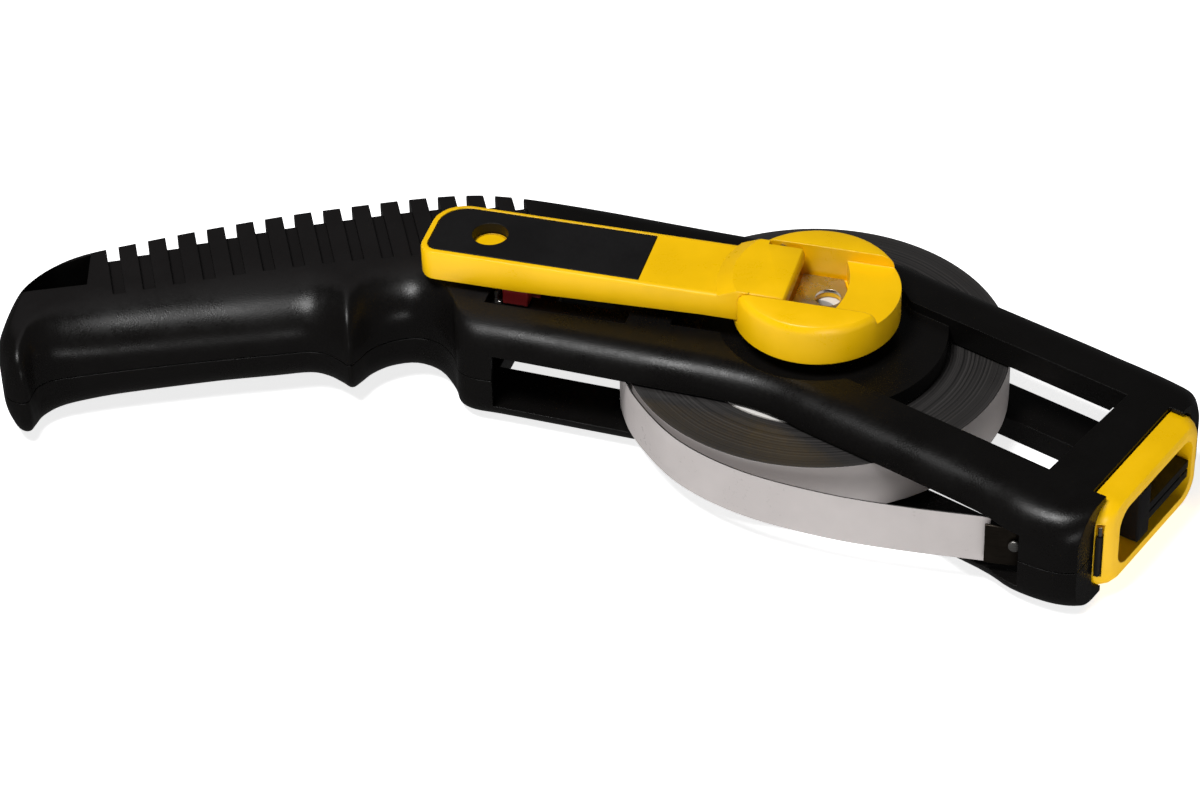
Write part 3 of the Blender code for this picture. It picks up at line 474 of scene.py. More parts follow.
def turned(name, profile, look=None, parent=None, steps=144):
    """A turned shape: its closed profile of (radius, height) runs down the outer side."""
    shape = bmesh.new()
    corners = [shape.verts.new(metres(r, 0.0, z)) for r, z in profile]
    for here, there in zip(corners, corners[1:] + corners[:1]):
        shape.edges.new((here, there))
    mesh = bpy.data.meshes.new(name)
    shape.to_mesh(mesh)
    shape.free()
    piece = object_of(name, mesh, look, parent)
    screw = piece.modifiers.new("turn", "SCREW")
    screw.steps = steps
    screw.render_steps = steps
    screw.use_merge_vertices = True
    screw.merge_threshold = 0.00001
    screw.use_smooth_shade = True
    return piece


def flat_piece(name, outline, low, high, look=None, parent=None):
    """A flat outline in mm, extruded between two heights."""
    curve = bpy.data.curves.new(name, "CURVE")
    curve.dimensions = "2D"
    curve.fill_mode = "BOTH"
    curve.extrude = (high - low) / 2 * MM
    spline = curve.splines.new("POLY")
    spline.points.add(len(outline) - 1)
    for point, (x, y) in zip(spline.points, outline):
        point.co = (x * MM, y * MM, 0.0, 1.0)
    spline.use_cyclic_u = True
    drawn = bpy.data.objects.new(name + "_outline", curve)
    WORKSHOP.objects.link(drawn)
    shape = bmesh.new()
    flat = bpy.data.meshes.new_from_object(drawn)
    shape.from_mesh(flat)
    bmesh.ops.remove_doubles(shape, verts=shape.verts, dist=0.000001)
    bmesh.ops.dissolve_limit(
        shape, angle_limit=math.radians(1), verts=shape.verts, edges=shape.edges
    )
    bmesh.ops.translate(shape, verts=shape.verts, vec=metres(0, 0, (low + high) / 2))
    bpy.data.objects.remove(drawn)
    bpy.data.meshes.remove(flat)
    return object_of(name, mesh_of(shape, name), look, parent)


def bevel(piece, width, segments=4, angle=40):
    edges = piece.modifiers.new("edges", "BEVEL")
    edges.width = width * MM
    edges.segments = segments
    edges.limit_method = "ANGLE"
    edges.angle_limit = math.radians(angle)


def boolean(piece, other, operation):
    """The exact solver leaves slits in the shells' curved faces, so they take the other one."""
    step = piece.modifiers.new(other.name, "BOOLEAN")
    step.operation = operation
    step.solver = "MANIFOLD" if "shell" in piece.name else "EXACT"
    step.object = other


def cut(piece, *cutters):
    for cutter in cutters:
        boolean(piece, cutter, "DIFFERENCE")


def join(piece, *others):
    for other in others:
        boolean(piece, other, "UNION")


def smooth_route(points, steps):
    """Points on the smooth curve (Catmull-Rom) through a list of points."""
    ends = [points[0], *points, points[-1]]
    route = []
    for a, b, c, d in zip(ends, ends[1:], ends[2:], ends[3:]):
        for step in range(steps):
            t = step / steps
            route.append(
                tuple(
                    q
                    + 0.5 * t * (r - p + t * (2 * p - 5 * q + 4 * r - s + t * (3 * (q - r) + s - p)))
                    for p, q, r, s in zip(a, b, c, d)
                )
            )
    return [*route, points[-1]]


def rounded_rectangle(low, high, radius, steps=12):
    """The outline of a rectangle with round corners."""
    outline = []
    corners = (
        (high[0] - radius, high[1] - radius, 0),
        (low[0] + radius, high[1] - radius, 90),
        (low[0] + radius, low[1] + radius, 180),
        (high[0] - radius, low[1] + radius, 270),
    )
    for x, y, start in corners:
        for step in range(steps + 1):
            angle = math.radians(start + 90 * step / steps)
            outline.append((x + radius * math.cos(angle), y + radius * math.sin(angle)))
    return outline


def standing_plate(name, outline, low, high, look=None, parent=None):
    """A flat outline that stands on edge: its x runs across, its y up, its thickness along."""
    piece = flat_piece(name, outline, low, high, look, parent)
    upright = Matrix(((0, 0, 1, 0), (1, 0, 0, 0), (0, 1, 0, 0), (0, 0, 0, 1)))
    piece.data.transform(upright)
    return piece


def ribbon(name, route, width, thickness, look, parent):
    """A strip of steel on edge, that follows a route in plan; thickness is added outside."""
    middle = smooth_route(route, 12)
    sides = []
    for n, (x, y) in enumerate(middle):
        before = Vector(middle[max(n - 1, 0)])
        after = Vector(middle[min(n + 1, len(middle) - 1)])
        ahead = (after - before).normalized()
        sides.append((x + ahead.y * thickness, y - ahead.x * thickness))
    outline = [*middle, *reversed(sides)]
    return flat_piece(name, outline, -width / 2, width / 2, look, parent)


# ---------------------------------------------------------------- the frame's two shells
def stations():
    """The outline's stations with more between each two, as flat tuples."""
    flat = [(*near, *far, *sizes) for near, far, *sizes in STATIONS]
    return smooth_route(flat, STEPS)


def section(near, far, half, reach, far_reach, low, arc_steps=12):
    """A cross-section of half the frame, from the near side's seam over the top to the far side."""
    near, far = Vector(near), Vector(far)
    width = (far - near).length
    across = (far - near) / width
    reach = min(reach, 0.49 * width)
    far_reach = min(far_reach, 0.49 * width)
    near_rise = min(max(half - low - 1.0, 0.3), 8.5 + 0.25 * (reach - 8.5) * 1.6)
    far_rise = min(max(half - low - 1.0, 0.3), far_reach)
    points = [(0.0, low)]
    for step in range(arc_steps + 1):
        angle = math.pi / 2 * step / arc_steps
        points.append((reach * (1 - math.cos(angle)), half - near_rise * (1 - math.sin(angle))))
    for step in range(arc_steps + 1):
        angle = math.pi / 2 * (1 - step / arc_steps)
        points.append(
            (width - far_reach * (1 - math.cos(angle)), half - far_rise * (1 - math.sin(angle)))
        )
    points.append((width, low))
    return [(*(near + across * u), z) for u, z in points]


def loft(name, sections, flip, look=None, parent=None):
    """A closed solid through cross-sections; flip mirrors it below the middle plane."""
    shape = bmesh.new()
    sign = -1.0 if flip else 1.0
    rings = [[shape.verts.new(metres(x, y, sign * z)) for x, y, z in ring] for ring in sections]
    for here, there in zip(rings, rings[1:]):
        for n in range(len(here)):
            m = (n + 1) % len(here)
            shape.faces.new((here[n], here[m], there[m], there[n]))
    shape.faces.new(rings[0])
    shape.faces.new(list(reversed(rings[-1])))
    bmesh.ops.triangulate(shape, faces=[face for face in shape.faces if len(face.verts) == 4])
    return object_of(name, mesh_of(shape, name), look, parent)


def outer_sections():
    return [section(s[0:2], s[2:4], *s[4:7], GAP / 2) for s in stations()]


def cavity_sections():
    """The hollow of the grip, a wall's thickness inside its outer surface."""
    first, last = (STEPS * n for n in CAVITY_STATIONS)
    inner = []
    for s in stations()[first : last + 1]:
        near, far = Vector(s[0:2]), Vector(s[2:4])
        across = (far - near).normalized()
        near = near + across * SHELL_WALL
        far = far - across * CAVITY_FAR_WALL
        inner.append(section(near, far, s[4] - SHELL_WALL, s[5] - SHELL_WALL, 5.8, -0.5))
    return inner


def groove_cutter(name, number, flip):
    """One groove between two ribs: over the top face, round the spine and down to the seam."""
    spine = [Vector(s[2:4]) for s in stations()]
    x = FIRST_GROOVE + RIB_PITCH * number
    place = next(n for n in range(len(spine) - 1) if spine[n + 1].x <= x <= spine[n].x)
    share = (x - spine[place].x) / (spine[place + 1].x - spine[place].x)
    edge = spine[place].lerp(spine[place + 1], share)
    across = Vector(RIB_DIRECTION)
    ahead = Vector((across.y, -across.x))
    reach = 20.0 + 7.5 * number / RIB_COUNT
    half = HALF_THICKNESS
    outline = (
        (-reach, half + 2),
        (-reach, half - 1.7),
        (-6.5, half - 1.9),
        (-4.0, half - 2.4),
        (-2.8, half - 4.2),
        (-2.6, half - 7.0),
        (-2.6, -1.0),
        (4.0, -1.0),
        (4.0, half + 2),
    )
    shape = bmesh.new()
    sign = -1.0 if flip else 1.0
    sides = []
    for offset in (-GROOVE_WIDTH / 2, GROOVE_WIDTH / 2):
        ring = []
        for u, z in outline:
            plan = edge + across * u + ahead * offset
            ring.append(shape.verts.new(metres(plan.x, plan.y, sign * z)))
        sides.append(ring)
    for n in range(len(outline)):
        m = (n + 1) % len(outline)
        shape.faces.new((sides[0][n], sides[0][m], sides[1][m], sides[1][n]))
    shape.faces.new(sides[0])
    shape.faces.new(sides[1])
    return object_of(name, mesh_of(shape, name), parent=FRAME)


def nose_box(name, along, across, low, high, angle=NOSE_ANGLE):
    """A box cutter that lies along the nose."""
    cutter = box(name, (along[0], across[0], low), (along[1], across[1], high), parent=FRAME)
    cutter.rotation_euler = (0.0, 0.0, math.radians(angle))
    return cutter


def crank_box(name, along, half_width, low, high):
    return nose_box(name, along, (-half_width, half_width), low, high, CRANK_ANGLE)


def window_outline(angle, end, low, high):
    """A window between two rails; its inner end is an arc round the hub."""
    radius = HUB_PLATE_RADIUS
    side = 1 if end > 0 else -1
    outline = [in_plan(angle, end, low), in_plan(angle, end, high)]
    first = math.asin(high / radius)
    last = math.asin(low / radius)
    for step in range(41):
        turned_by = first + (last - first) * step / 40
        along = side * radius * math.cos(turned_by)
        outline.append(in_plan(angle, along, radius * math.sin(turned_by)))
    return outline


def coil_bay(name):
    """The space between the plates, from the guard to the nose, open on both sides."""
    outline = (
        (BAY[0], -90.0),
        in_plan(NOSE_ANGLE, BAY[1], -80.0),
        in_plan(NOSE_ANGLE, BAY[1], 80.0),
        (BAY[0], 90.0),
    )
    return flat_piece(name, outline, *BAY_HEIGHTS, parent=FRAME)


def screw_boss(name, place, low, high):
    return rod(name, 3.6, low, high, parent=FRAME, place=place)


def shell(name, flip):
    """One half of the frame, before the cuts that only that half has."""
    look = "black_plastic"
    piece = loft(name, outer_sections(), flip, look, FRAME)
    side = "low" if flip else "up"
    sign = -1.0 if flip else 1.0
    cut(piece, loft(f"grip_hollow_{side}", cavity_sections(), flip, parent=FRAME))
    for n, place in enumerate(SCREW_PLACES[:3]):
        low, high = sorted((sign * 0.4, sign * 12.2))
        join(piece, screw_boss(f"boss_{side}_{n + 1}", place, low, high))
    cut(piece, coil_bay(f"bay_{side}"))
    cut(piece, nose_box(f"nose_inlet_{side}", (70, 83), (-26.6, 23.0), -8.6, 8.6))
    cut(piece, nose_box(f"nose_hollow_{side}", (80, 98), (-23.1, 18.5), -8.6, 8.6, MOUTH_ANGLE))
    seat = rounded_rectangle((-24.1, -12.7), (21.2, 13.2), 6.3)
    cut(piece, standing_plate(f"mouth_seat_{side}", seat, MOUTH_BACK, 99, parent=MOUTH))
    cut(piece, nose_box(f"seat_front_{side}", (MOUTH_BACK, 99), (-19.5, 16.0), -20, 20, MOUTH_ANGLE))
    cut(piece, nose_box(f"nose_end_{side}", (SHELL_FRONT, 110), (-60, 60), -20, 20, MOUTH_ANGLE))
    cut(piece, flat_piece(f"lanyard_{side}", LANYARD_HOLE, -20, 20, parent=FRAME))
    cut(piece, crank_box(f"lock_way_{side}", (-90, -66), 8.8, -6.6, 6.4))
    for n in range(RIB_COUNT):
        cut(piece, groove_cutter(f"groove_{side}_{n + 1}", n, flip))
    return piece


def top_shell():
    piece = shell("top_shell", flip=False)
    cut(piece, flat_piece("window_up", window_outline(NOSE_ANGLE, *WINDOW), -1, 20, parent=FRAME))
    cut(piece, rod("hub_recess", 23.4, FLOOR_HEIGHT, 20, parent=FRAME))
    cut(piece, nose_box("nose_recess", (0, 40), (-14.3, 18.6), FLOOR_HEIGHT, 20))
    cut(piece, nose_box("grip_recess", (-33, 0), (-10.6, 10.6), FLOOR_HEIGHT, 20, CRANK_ANGLE))
    cut(piece, rod("hub_hole", 10.2, 0, 20, parent=FRAME))
    cut(piece, nose_box("trough", TROUGH, (-12.8, 10.4), TROUGH_FLOOR, 20, CRANK_ANGLE))
    cut(piece, crank_box("lock_slot", (-75.8, -49.0), 3.8, 0, 20))
    for n, place in enumerate(SCREW_PLACES):
        cut(piece, rod(f"pilot_{n + 1}", 1.6, -1, 8.4, parent=FRAME, place=place))


def bottom_shell():
    piece = shell("bottom_shell", flip=True)
    nose_window = window_outline(NOSE_ANGLE, *WINDOW)
    grip_window = window_outline(BODY_ANGLE, *GRIP_WINDOW)
    cut(piece, flat_piece("window_low", nose_window, -20, 1, parent=FRAME))
    cut(piece, flat_piece("grip_window", grip_window, -20, 1, parent=FRAME))
    cut(piece, nose_box("rail_relief", (28.0, BAY[1]), (29.5, 45.0), -10.5, 0))
    cut(piece, rod("hub_pocket", 10.2, -12.9, 0, parent=FRAME))
    for n, place in enumerate(SCREW_PLACES):
        cut(piece, rod(f"through_{n + 1}", 1.7, -20, 1, parent=FRAME, place=place))
        cut(piece, rod(f"counterbore_{n + 1}", 3.1, -20, -11.4, parent=FRAME, place=place))


# ---------------------------------------------------------------- pieces on the frame
def case_screws():
    """Pan-head screws that close the shells from below."""
    profile = (
        (0.0, 8.0),
        (1.3, 8.0),
        (1.3, -11.7),
        (2.7, -11.7),
        (2.7, -12.3),
        (1.9, -13.1),
        (0.0, -13.1),
    )
    for n, place in enumerate(SCREW_PLACES):
        screw = turned(f"case_screw_{n + 1}", profile, "dark_steel", FRAME)
        screw.location = metres(*place, 0.0)


def mouth_ring(along, inset, steps=14):
    """The mouthpiece's outline at one depth, as points along and across its direction."""
    low, high = (-23.8 + inset, -12.4 + inset), (20.9 - inset, 12.9 - 0.6 * inset)
    outline = rounded_rectangle(low, high, 6.5 - inset / 2, steps)
    return [(along, across, height) for across, height in outline]


def mouthpiece():
    """The yellow bezel at the tape's exit, with a spigot that goes into the nose."""
    look = "yellow_plastic"
    rim = ((MOUTH_BACK + GAP, 0.0), (89.0, 0.2), (90.6, 1.0), (91.7, 2.2), (MOUTH_FRONT, 3.6))
    rings = [mouth_ring(along, inset) for along, inset in rim]
    piece = loft("mouthpiece", rings, False, look, MOUTH)
    spigot = rounded_rectangle((-22.8, -8.2), (18.2, 8.2), 3.0, steps=8)
    join(piece, standing_plate("spigot", spigot, 82.0, 90.0, parent=MOUTH))
    opening = rounded_rectangle((-18.4, -7.0), (15.8, 9.2), 4.6)
    hollow = rounded_rectangle((-21.2, -6.6), (16.2, 6.6), 2.4, steps=8)
    cut(piece, standing_plate("mouth_opening", opening, 82.0, 99.0, parent=MOUTH))
    cut(piece, standing_plate("spigot_hollow", hollow, 70.0, 88.5, parent=MOUTH))
    cut(piece, box("wiper_slot", (88.7, -32.0, -6.6), (90.5, -21.0, 5.4), parent=MOUTH))
    cut(piece, box("pin_notch", (88.7, -32.0, 5.2), (90.5, -22.0, 8.4), parent=MOUTH))


def mouth_trim():
    """The wiper that cleans the tape as it goes in, and the pin that holds it."""
    box("tape_wiper", (89.0, -23.9, -6.3), (90.2, -21.4, 5.1), "rubber", MOUTH, 0.3)
    rod("wiper_pin", 0.6, 5.5, 8.0, "steel", MOUTH, (89.6, -23.0))


def tape_hook():
    """The black end piece of the tape: an upright plate and a ribbed bar across."""
    look = "trim_plastic"
    piece = box("tape_hook", (83.8, -8.8, -6.2), (92.0, -3.4, 8.2), look, MOUTH, 0.6)
    join(piece, box("hook_bar", (85.0, -4.2, -3.2), (91.6, 15.2, 1.6), parent=MOUTH))
    low, high = (90.6, -3.0, -1.1), (93.0, 16.2, -0.5)
    cut(piece, box("hook_groove", low, high, parent=MOUTH))


def tape_and_leader():
    """The loose outer turn, and the steel leader riveted to its end."""
    ribbon("tape_lead", LEAD_ROUTE, TAPE_WIDTH, TAPE_THICKNESS, "tape_steel", FRAME)
    leader = ribbon("leader_clip", LEADER_ROUTE, 11.0, 0.6, "dark_steel", FRAME)
    leader.location = metres(0.3, -0.7, 0.0)
    rivet = rod("leader_rivet", 1.5, 0.0, 0.9, "steel", FRAME)
    rivet.location = metres(RIVET_PLACE[0], RIVET_PLACE[1] - 1.75, 1.0)
    rivet.rotation_euler = (math.radians(90), 0.0, math.radians(-8))
    bevel(rivet, 0.3)


# ---------------------------------------------------------------- the reel
def tape_coil():
    half = TAPE_WIDTH / 2
    profile = (
        (COIL_BORE, half),
        (COIL_RADIUS, half),
        (COIL_RADIUS, -half),
        (COIL_BORE, -half),
    )
    turned("tape_coil", profile, "tape_steel", REEL)


def hub_disc():
    """The yellow boss that holds the crank between two cheeks."""
    profile = (
        (0.0, DISC_TOP),
        (DISC_RADIUS - 2.2, DISC_TOP),
        (DISC_RADIUS - 1.0, DISC_TOP - 0.5),
        (DISC_RADIUS - 0.3, DISC_TOP - 1.4),
        (DISC_RADIUS, DISC_TOP - 2.6),
        (DISC_RADIUS, DISC_LOW + 0.6),
        (DISC_RADIUS - 0.6, DISC_LOW),
        (0.0, DISC_LOW),
    )
    piece = turned("hub_disc", profile, "yellow_plastic", REEL)
    low, high = CHANNEL
    cut(piece, box("shelf", (0, low, SHELF_HEIGHT), (30, high, 40), parent=REEL))
    cut(piece, box("channel", (-30, low, CHANNEL_FLOOR), (0.5, high, 40), parent=REEL))
    cut(piece, flat_piece("well", well_outline(), CHANNEL_FLOOR, 40, parent=REEL))
    cut(piece, rod("neck_socket", NECK_RADIUS + GAP, 0, 16.3, parent=REEL))
    cut(piece, rod("screw_way", 3.2, 10, 20, parent=REEL, place=HOLE_PLACE))
    cut(piece, cross_rod("pin_way", PIN_RADIUS + 0.15, 15.1, PIN_REACH, PIN_HEIGHT, parent=REEL))


def well_outline():
    """The well ends towards the nose in a shallow arc."""
    low, high = CHANNEL
    middle, half = (low + high) / 2, (high - low) / 2
    outline = [(0.0, low)]
    for step in range(9):
        share = step / 4 - 1
        outline.append((WELL_END - 2.6 * share**2, middle + half * share))
    outline.append((0.0, high))
    return outline


def hub_hardware():
    """The steel plate in the well, the screw that holds the drum on, and the crank's pin."""
    outline = [(x - 0.5, y * 0.93) for x, y in well_outline()[1:-1]]
    outline += [(-5.8, CHANNEL[1] - 0.8), (-5.8, CHANNEL[0] + 0.8)]
    low, high = CHANNEL_FLOOR + 0.2, CHANNEL_FLOOR + 1.0
    plate = flat_piece("hub_plate", outline, low, high, "steel", REEL)
    cut(plate, rod("plate_hole", 3.15, 10, 30, parent=REEL, place=HOLE_PLACE))
    screw = ((0.0, 11.8), (3.6, 11.8), (4.4, 11.2), (4.4, 9.6), (0.0, 9.6))
    turned("hub_screw", screw, "dark_steel", REEL)
    cross_rod("crank_pin", PIN_RADIUS, 14.8, PIN_REACH, PIN_HEIGHT, "steel", REEL)


# ---------------------------------------------------------------- the crank
def crank_side():
    """The crank's side view, as (along, height) from its pin: bar, crown, and round knuckle."""
    base = 17.8 - PIN_HEIGHT
    tip = 16.2 - PIN_HEIGHT
    top = CRANK_TOP - PIN_HEIGHT
    crown = DISC_TOP - PIN_HEIGHT
    radius = 5.8
    end = CRANK_END - PIN_REACH
    outline = [(end, tip), (end + 25.0, tip), (-15.0, base), (-4.0, base)]
    first = math.radians(282)
    last = 2 * math.pi + math.asin(crown / radius)
    for step in range(9):
        angle = first + (last - first) * step / 8
        outline.append((radius * math.cos(angle), radius * math.sin(angle)))
    return [*outline, (-4.0, crown), (-4.0, top), (end, top)]


def end_outline(end, half, near_radius, far_radius, stop):
    """A bar's plan with unlike corners at its outer end; the stop is its end at the hub."""
    outline = []
    corners = (
        (end + far_radius, half - far_radius, 90, far_radius),
        (end + near_radius, near_radius - half, 180, near_radius),
    )
    for x, y, start, radius in corners:
        for step in range(7):
            angle = math.radians(start + 90 * step / 6)
            outline.append((x + radius * math.cos(angle), y + radius * math.sin(angle)))
    return [*outline, (stop, -half), (stop, half)]


def crank_block():
    """The raised block at the hub, whose outer end follows the disc's edge and slopes down."""
    slope_end = CRANK_TOP - 0.1
    profile = (
        (0.0, DISC_TOP),
        (DISC_RADIUS, DISC_TOP),
        (23.8, slope_end),
        (23.8, 22.0),
        (0.0, 22.0),
    )
    lowered = [(r, z - PIN_HEIGHT) for r, z in profile]
    block = turned("crank_block", lowered, parent=CRANK)
    block.location = metres(-PIN_REACH, 0.0, 0.0)
    trim = box("block_trim", (-14.0, *CROWN_LOW), (-3.0, *CROWN_HIGH), parent=CRANK)
    boolean(block, trim, "INTERSECT")
    return block


def crank_arm():
    side = [(-x, z) for x, z in crank_side()]
    piece = flat_piece("crank_arm", side, -14.0, 14.0, "yellow_plastic", CRANK)
    upright = Matrix(((-1, 0, 0, 0), (0, 0, 1, 0), (0, 1, 0, 0), (0, 0, 0, 1)))
    piece.data.transform(upright)
    end = CRANK_END - PIN_REACH
    outline = end_outline(end, CRANK_HALF, 4.0, 8.0, 10.0)
    boolean(piece, flat_piece("crank_plan", outline, -20, 20, parent=CRANK), "INTERSECT")
    bevel(piece, 0.8, segments=2, angle=50)
    join(piece, crank_block())
    knob = KNOB_REACH - PIN_REACH
    cut(piece, flat_piece("cover_seat", cover_outline(0.0), 23.3 - PIN_HEIGHT, 9, parent=CRANK))
    low, high = (-60.0, -8.3, -20.0), (-17.0, 8.3, 21.6 - PIN_HEIGHT)
    cut(piece, box("crank_hollow", low, high, parent=CRANK))
    place = (knob, 0.0)
    cut(piece, rod("cup_seat", 8.5, -20, 19.3 - PIN_HEIGHT, parent=CRANK, place=place))
    cut(piece, rod("collar_seat", 6.0, 21.4 - PIN_HEIGHT, 9, parent=CRANK, place=place))
    cut(piece, rod("spindle_seat", 4.4, -20, 9, parent=CRANK, place=place))
    cut(piece, cross_rod("pin_bore", PIN_RADIUS + 0.3, 16, 0.0, 0.0, parent=CRANK))


def cover_outline(inset):
    """The black cover plate's outline on the crank, from its pin."""
    end = CRANK_END - PIN_REACH + 1.6 + inset
    half = 9.0 - inset
    return end_outline(end, half, 2.6, 7.0, -30.0 - inset)


def cover_plate():
    """The flush cover on the crank, with a collar round the knob's spindle."""
    low, high = 23.5 - PIN_HEIGHT, CRANK_TOP - PIN_HEIGHT
    piece = flat_piece("cover_plate", cover_outline(0.25), low, high, "trim_plastic", CRANK)
    place = (KNOB_REACH - PIN_REACH, 0.0)
    join(piece, rod("collar", 5.7, 21.7 - PIN_HEIGHT, low + 0.4, parent=CRANK, place=place))
    cut(piece, rod("collar_bore", 4.4, -20, 20, parent=CRANK, place=place))


def knob_pieces():
    """The spindle fixed in the crank, and the dished finger knob that turns on it."""
    spindle = (
        (0.0, 21.4),
        (4.1, 21.4),
        (4.1, 19.4),
        (2.4, 19.4),
        (2.4, 17.5),
        (3.9, 17.5),
        (3.9, 16.7),
        (0.0, 16.7),
    )
    lowered = [(r, z - PIN_HEIGHT) for r, z in spindle]
    pin = turned("knob_spindle", lowered, "yellow_plastic", CRANK)
    pin.location = metres(KNOB_REACH - PIN_REACH, 0.0, 0.0)
    knob = (
        (2.7, 19.1),
        (8.1, 19.1),
        (8.1, 16.4),
        (7.7, 16.0),
        (6.8, 16.0),
        (5.2, 16.9),
        (4.2, 16.4),
        (4.2, 17.8),
        (2.7, 17.8),
    )
    turned("finger_knob", [(r, z - PIN_HEIGHT) for r, z in knob], "trim_plastic", KNOB)


# ---------------------------------------------------------------- the tape lock
def lock_pieces():
    """The red thumb slide, its carriage between the plates, the brake pad and the spring."""
    slide = box("lock_slide", (-3.2, -8.6, 10.9), (3.2, 8.6, 15.6), "red_plastic", LOCK, 0.5)
    join(slide, box("slide_stem", (-2.8, -3.3, 3.4), (2.8, 3.3, 11.6), parent=LOCK))
    carriage = box("lock_carriage", (-9.4, -8.2, -5.8), (4.6, 8.2, 5.4), "trim_plastic", LOCK, 0.6)
    cut(carriage, box("stem_seat", (-3.1, -3.6, 3.1), (3.1, 3.6, 9.0), parent=LOCK))
    box("brake_pad", (4.9, -6.0, -5.0), (7.0, 6.0, 5.0), "rubber", LOCK, 0.3)
    leaf = box("detent_spring", (-77.0, -8.6, 10.8), (-76.3, -4.2, 14.2), "steel", STOWED)
    foot = box("spring_foot", (-77.0, -8.6, 10.8), (-75.4, -4.2, 11.5), parent=STOWED)
    join(leaf, foot)


# ---------------------------------------------------------------- assembly
FRAME = axis_empty("frame_middle", (0, 0, 0))
MOUTH = axis_empty("mouth_direction", (0, 0, 0), MOUTH_ANGLE)
STOWED = axis_empty("stowed_crank_direction", (0, 0, 0), CRANK_ANGLE)
REEL = axis_empty("reel_axis", (0, 0, 0), CRANK_ANGLE)
CRANK = axis_empty(
    "crank_axis", (*in_plan(CRANK_ANGLE, PIN_REACH, 0.0), PIN_HEIGHT), CRANK_ANGLE
)
KNOB = axis_empty(
    "knob_axis", (*in_plan(CRANK_ANGLE, KNOB_REACH, 0.0), PIN_HEIGHT), CRANK_ANGLE
)
LOCK = axis_empty("lock_track", (*in_plan(CRANK_ANGLE, -71.9, 0.0), 0), CRANK_ANGLE)

top_shell()
bottom_shell()
case_screws()
mouthpiece()
mouth_trim()
tape_hook()
tape_and_leader()
tape_coil()
hub_disc()
hub_hardware()
crank_arm()
cover_plate()
knob_pieces()
lock_pieces()


# ---------------------------------------------------------------- drafts into pieces
def settle(name, draft, look):
    """A draft with its modifiers worked out, as one smooth mesh in its CAD node's place."""
    seen = draft.evaluated_get(bpy.context.evaluated_depsgraph_get())
    mesh = bpy.data.meshes.new_from_object(seen)
    mesh.transform(draft.matrix_world)
    mesh.materials.clear()
    mesh.materials.append(MATERIALS[look])
    shape = bmesh.new()
    shape.from_mesh(mesh)
    bmesh.ops.remove_doubles(shape, verts=shape.verts, dist=WELD_DISTANCE)
    bmesh.ops.dissolve_degenerate(shape, edges=shape.edges, dist=SLIVER)
    for face in shape.faces:
        face.material_index = 0
    shape.to_mesh(mesh)
    shape.free()
    mesh.shade_smooth()
    mesh.set_sharp_from_angle(angle=math.radians(SHARP_ANGLE))
    piece = bpy.data.objects.new(name + "_skin", mesh)
    bpy.context.scene.collection.objects.link(piece)
    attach(piece, BODY_OF[name])
    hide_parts(name)


bpy.context.view_layer.update()
for made_name, made_draft, made_look in DRAFTS:
    settle(made_name, made_draft, made_look)
for leftover in list(WORKSHOP.objects):
    bpy.data.objects.remove(leftover)
bpy.data.collections.remove(WORKSHOP)

for node_name, node_object in frame["nodes"].items():
    node_object.data.materials.clear()
    node_object.data.materials.append(MATERIALS[SLOT_OF[node_name]])


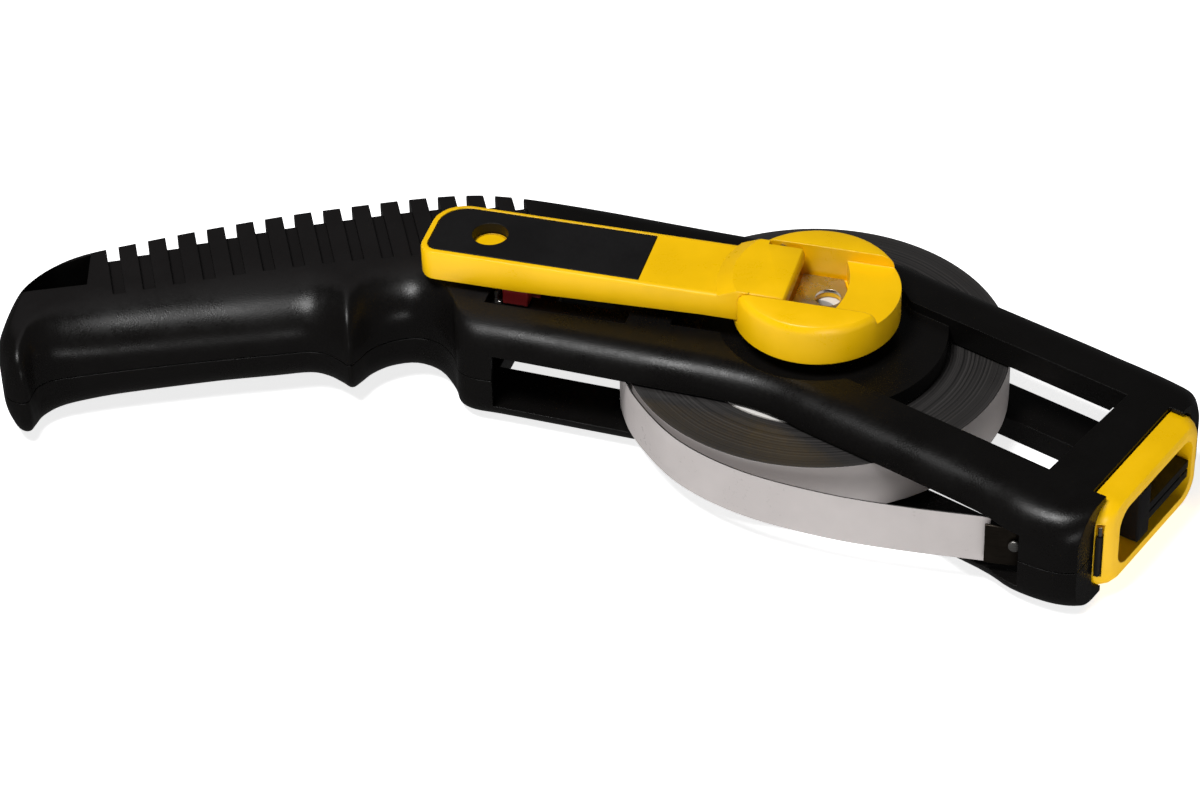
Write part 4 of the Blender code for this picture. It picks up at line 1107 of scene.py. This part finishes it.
# ---------------------------------------------------------------- floor, light and camera
def floor():
    """A plain pale sheet under the reel."""
    shape = bmesh.new()
    bmesh.ops.create_grid(shape, x_segments=1, y_segments=1, size=FLOOR_HALF)
    mesh = bpy.data.meshes.new("floor")
    shape.to_mesh(mesh)
    shape.free()
    piece = bpy.data.objects.new("floor", mesh)
    bpy.context.scene.collection.objects.link(piece)
    piece.location.z = -0.0002
    paper = bpy.data.materials.new("floor")
    paper.use_nodes = True
    shader = paper.node_tree.nodes["Principled BSDF"]
    shader.inputs["Base Color"].default_value = (0.96, 0.96, 0.96, 1.0)
    shader.inputs["Roughness"].default_value = 1.0
    shader.inputs["Specular IOR Level"].default_value = 0.0
    shader.inputs["Emission Color"].default_value = (1.0, 1.0, 1.0, 1.0)
    shader.inputs["Emission Strength"].default_value = FLOOR_GLOW
    mesh.materials.append(paper)
    piece.visible_glossy = False


def soft_light(name, place, size, watts, aim=(-0.05, 0.0, 0.02)):
    """A square soft box that points at the reel."""
    lamp = bpy.data.lights.new(name, "AREA")
    lamp.shape = "RECTANGLE"
    lamp.size, lamp.size_y = size
    lamp.energy = watts
    stand = bpy.data.objects.new(name, lamp)
    bpy.context.scene.collection.objects.link(stand)
    stand.location = place
    stand.rotation_euler = (Vector(aim) - Vector(place)).to_track_quat("-Z", "Y").to_euler()


def surroundings():
    world = bpy.data.worlds.new("studio")
    bpy.context.scene.world = world
    world.use_nodes = True
    sky = world.node_tree.nodes["Background"]
    sky.inputs["Color"].default_value = (1.0, 1.0, 1.0, 1.0)
    sky.inputs["Strength"].default_value = SKY_STRENGTH


def camera():
    """A long lens that looks down at the reel from its near side."""
    lens = bpy.data.cameras.new("camera")
    lens.lens = 120.0
    lens.sensor_width = 36.0
    viewer = bpy.data.objects.new("camera", lens)
    bpy.context.scene.collection.objects.link(viewer)
    pitch = math.radians(CAMERA_PITCH)
    level = Matrix.Rotation(math.pi / 2 - pitch, 4, "X")
    roll = Matrix.Rotation(math.radians(CAMERA_ROLL), 4, "Z")
    viewer.matrix_world = Matrix.Translation(CAMERA_PLACE) @ level @ roll
    bpy.context.scene.camera = viewer


FLOOR_HALF = 3.0
FLOOR_GLOW = 0.78
SKY_STRENGTH = 0.07
CAMERA_PLACE = (-0.05174, -0.74672, 0.60649)  # metres, like the floor and the lights
CAMERA_PITCH = 38.83  # degrees below level
CAMERA_ROLL = -1.83
LIGHTS = (
    ("key", (-0.30, -0.25, 0.95), (0.30, 0.30), 9.5),
    ("front", (0.15, -1.0, 0.22), (0.4, 0.2), 1.6),
)

floor()
surroundings()
for light_name, light_place, light_size, light_watts in LIGHTS:
    soft_light(light_name, light_place, light_size, light_watts)
camera()
bpy.context.scene.view_settings.view_transform = "Standard"
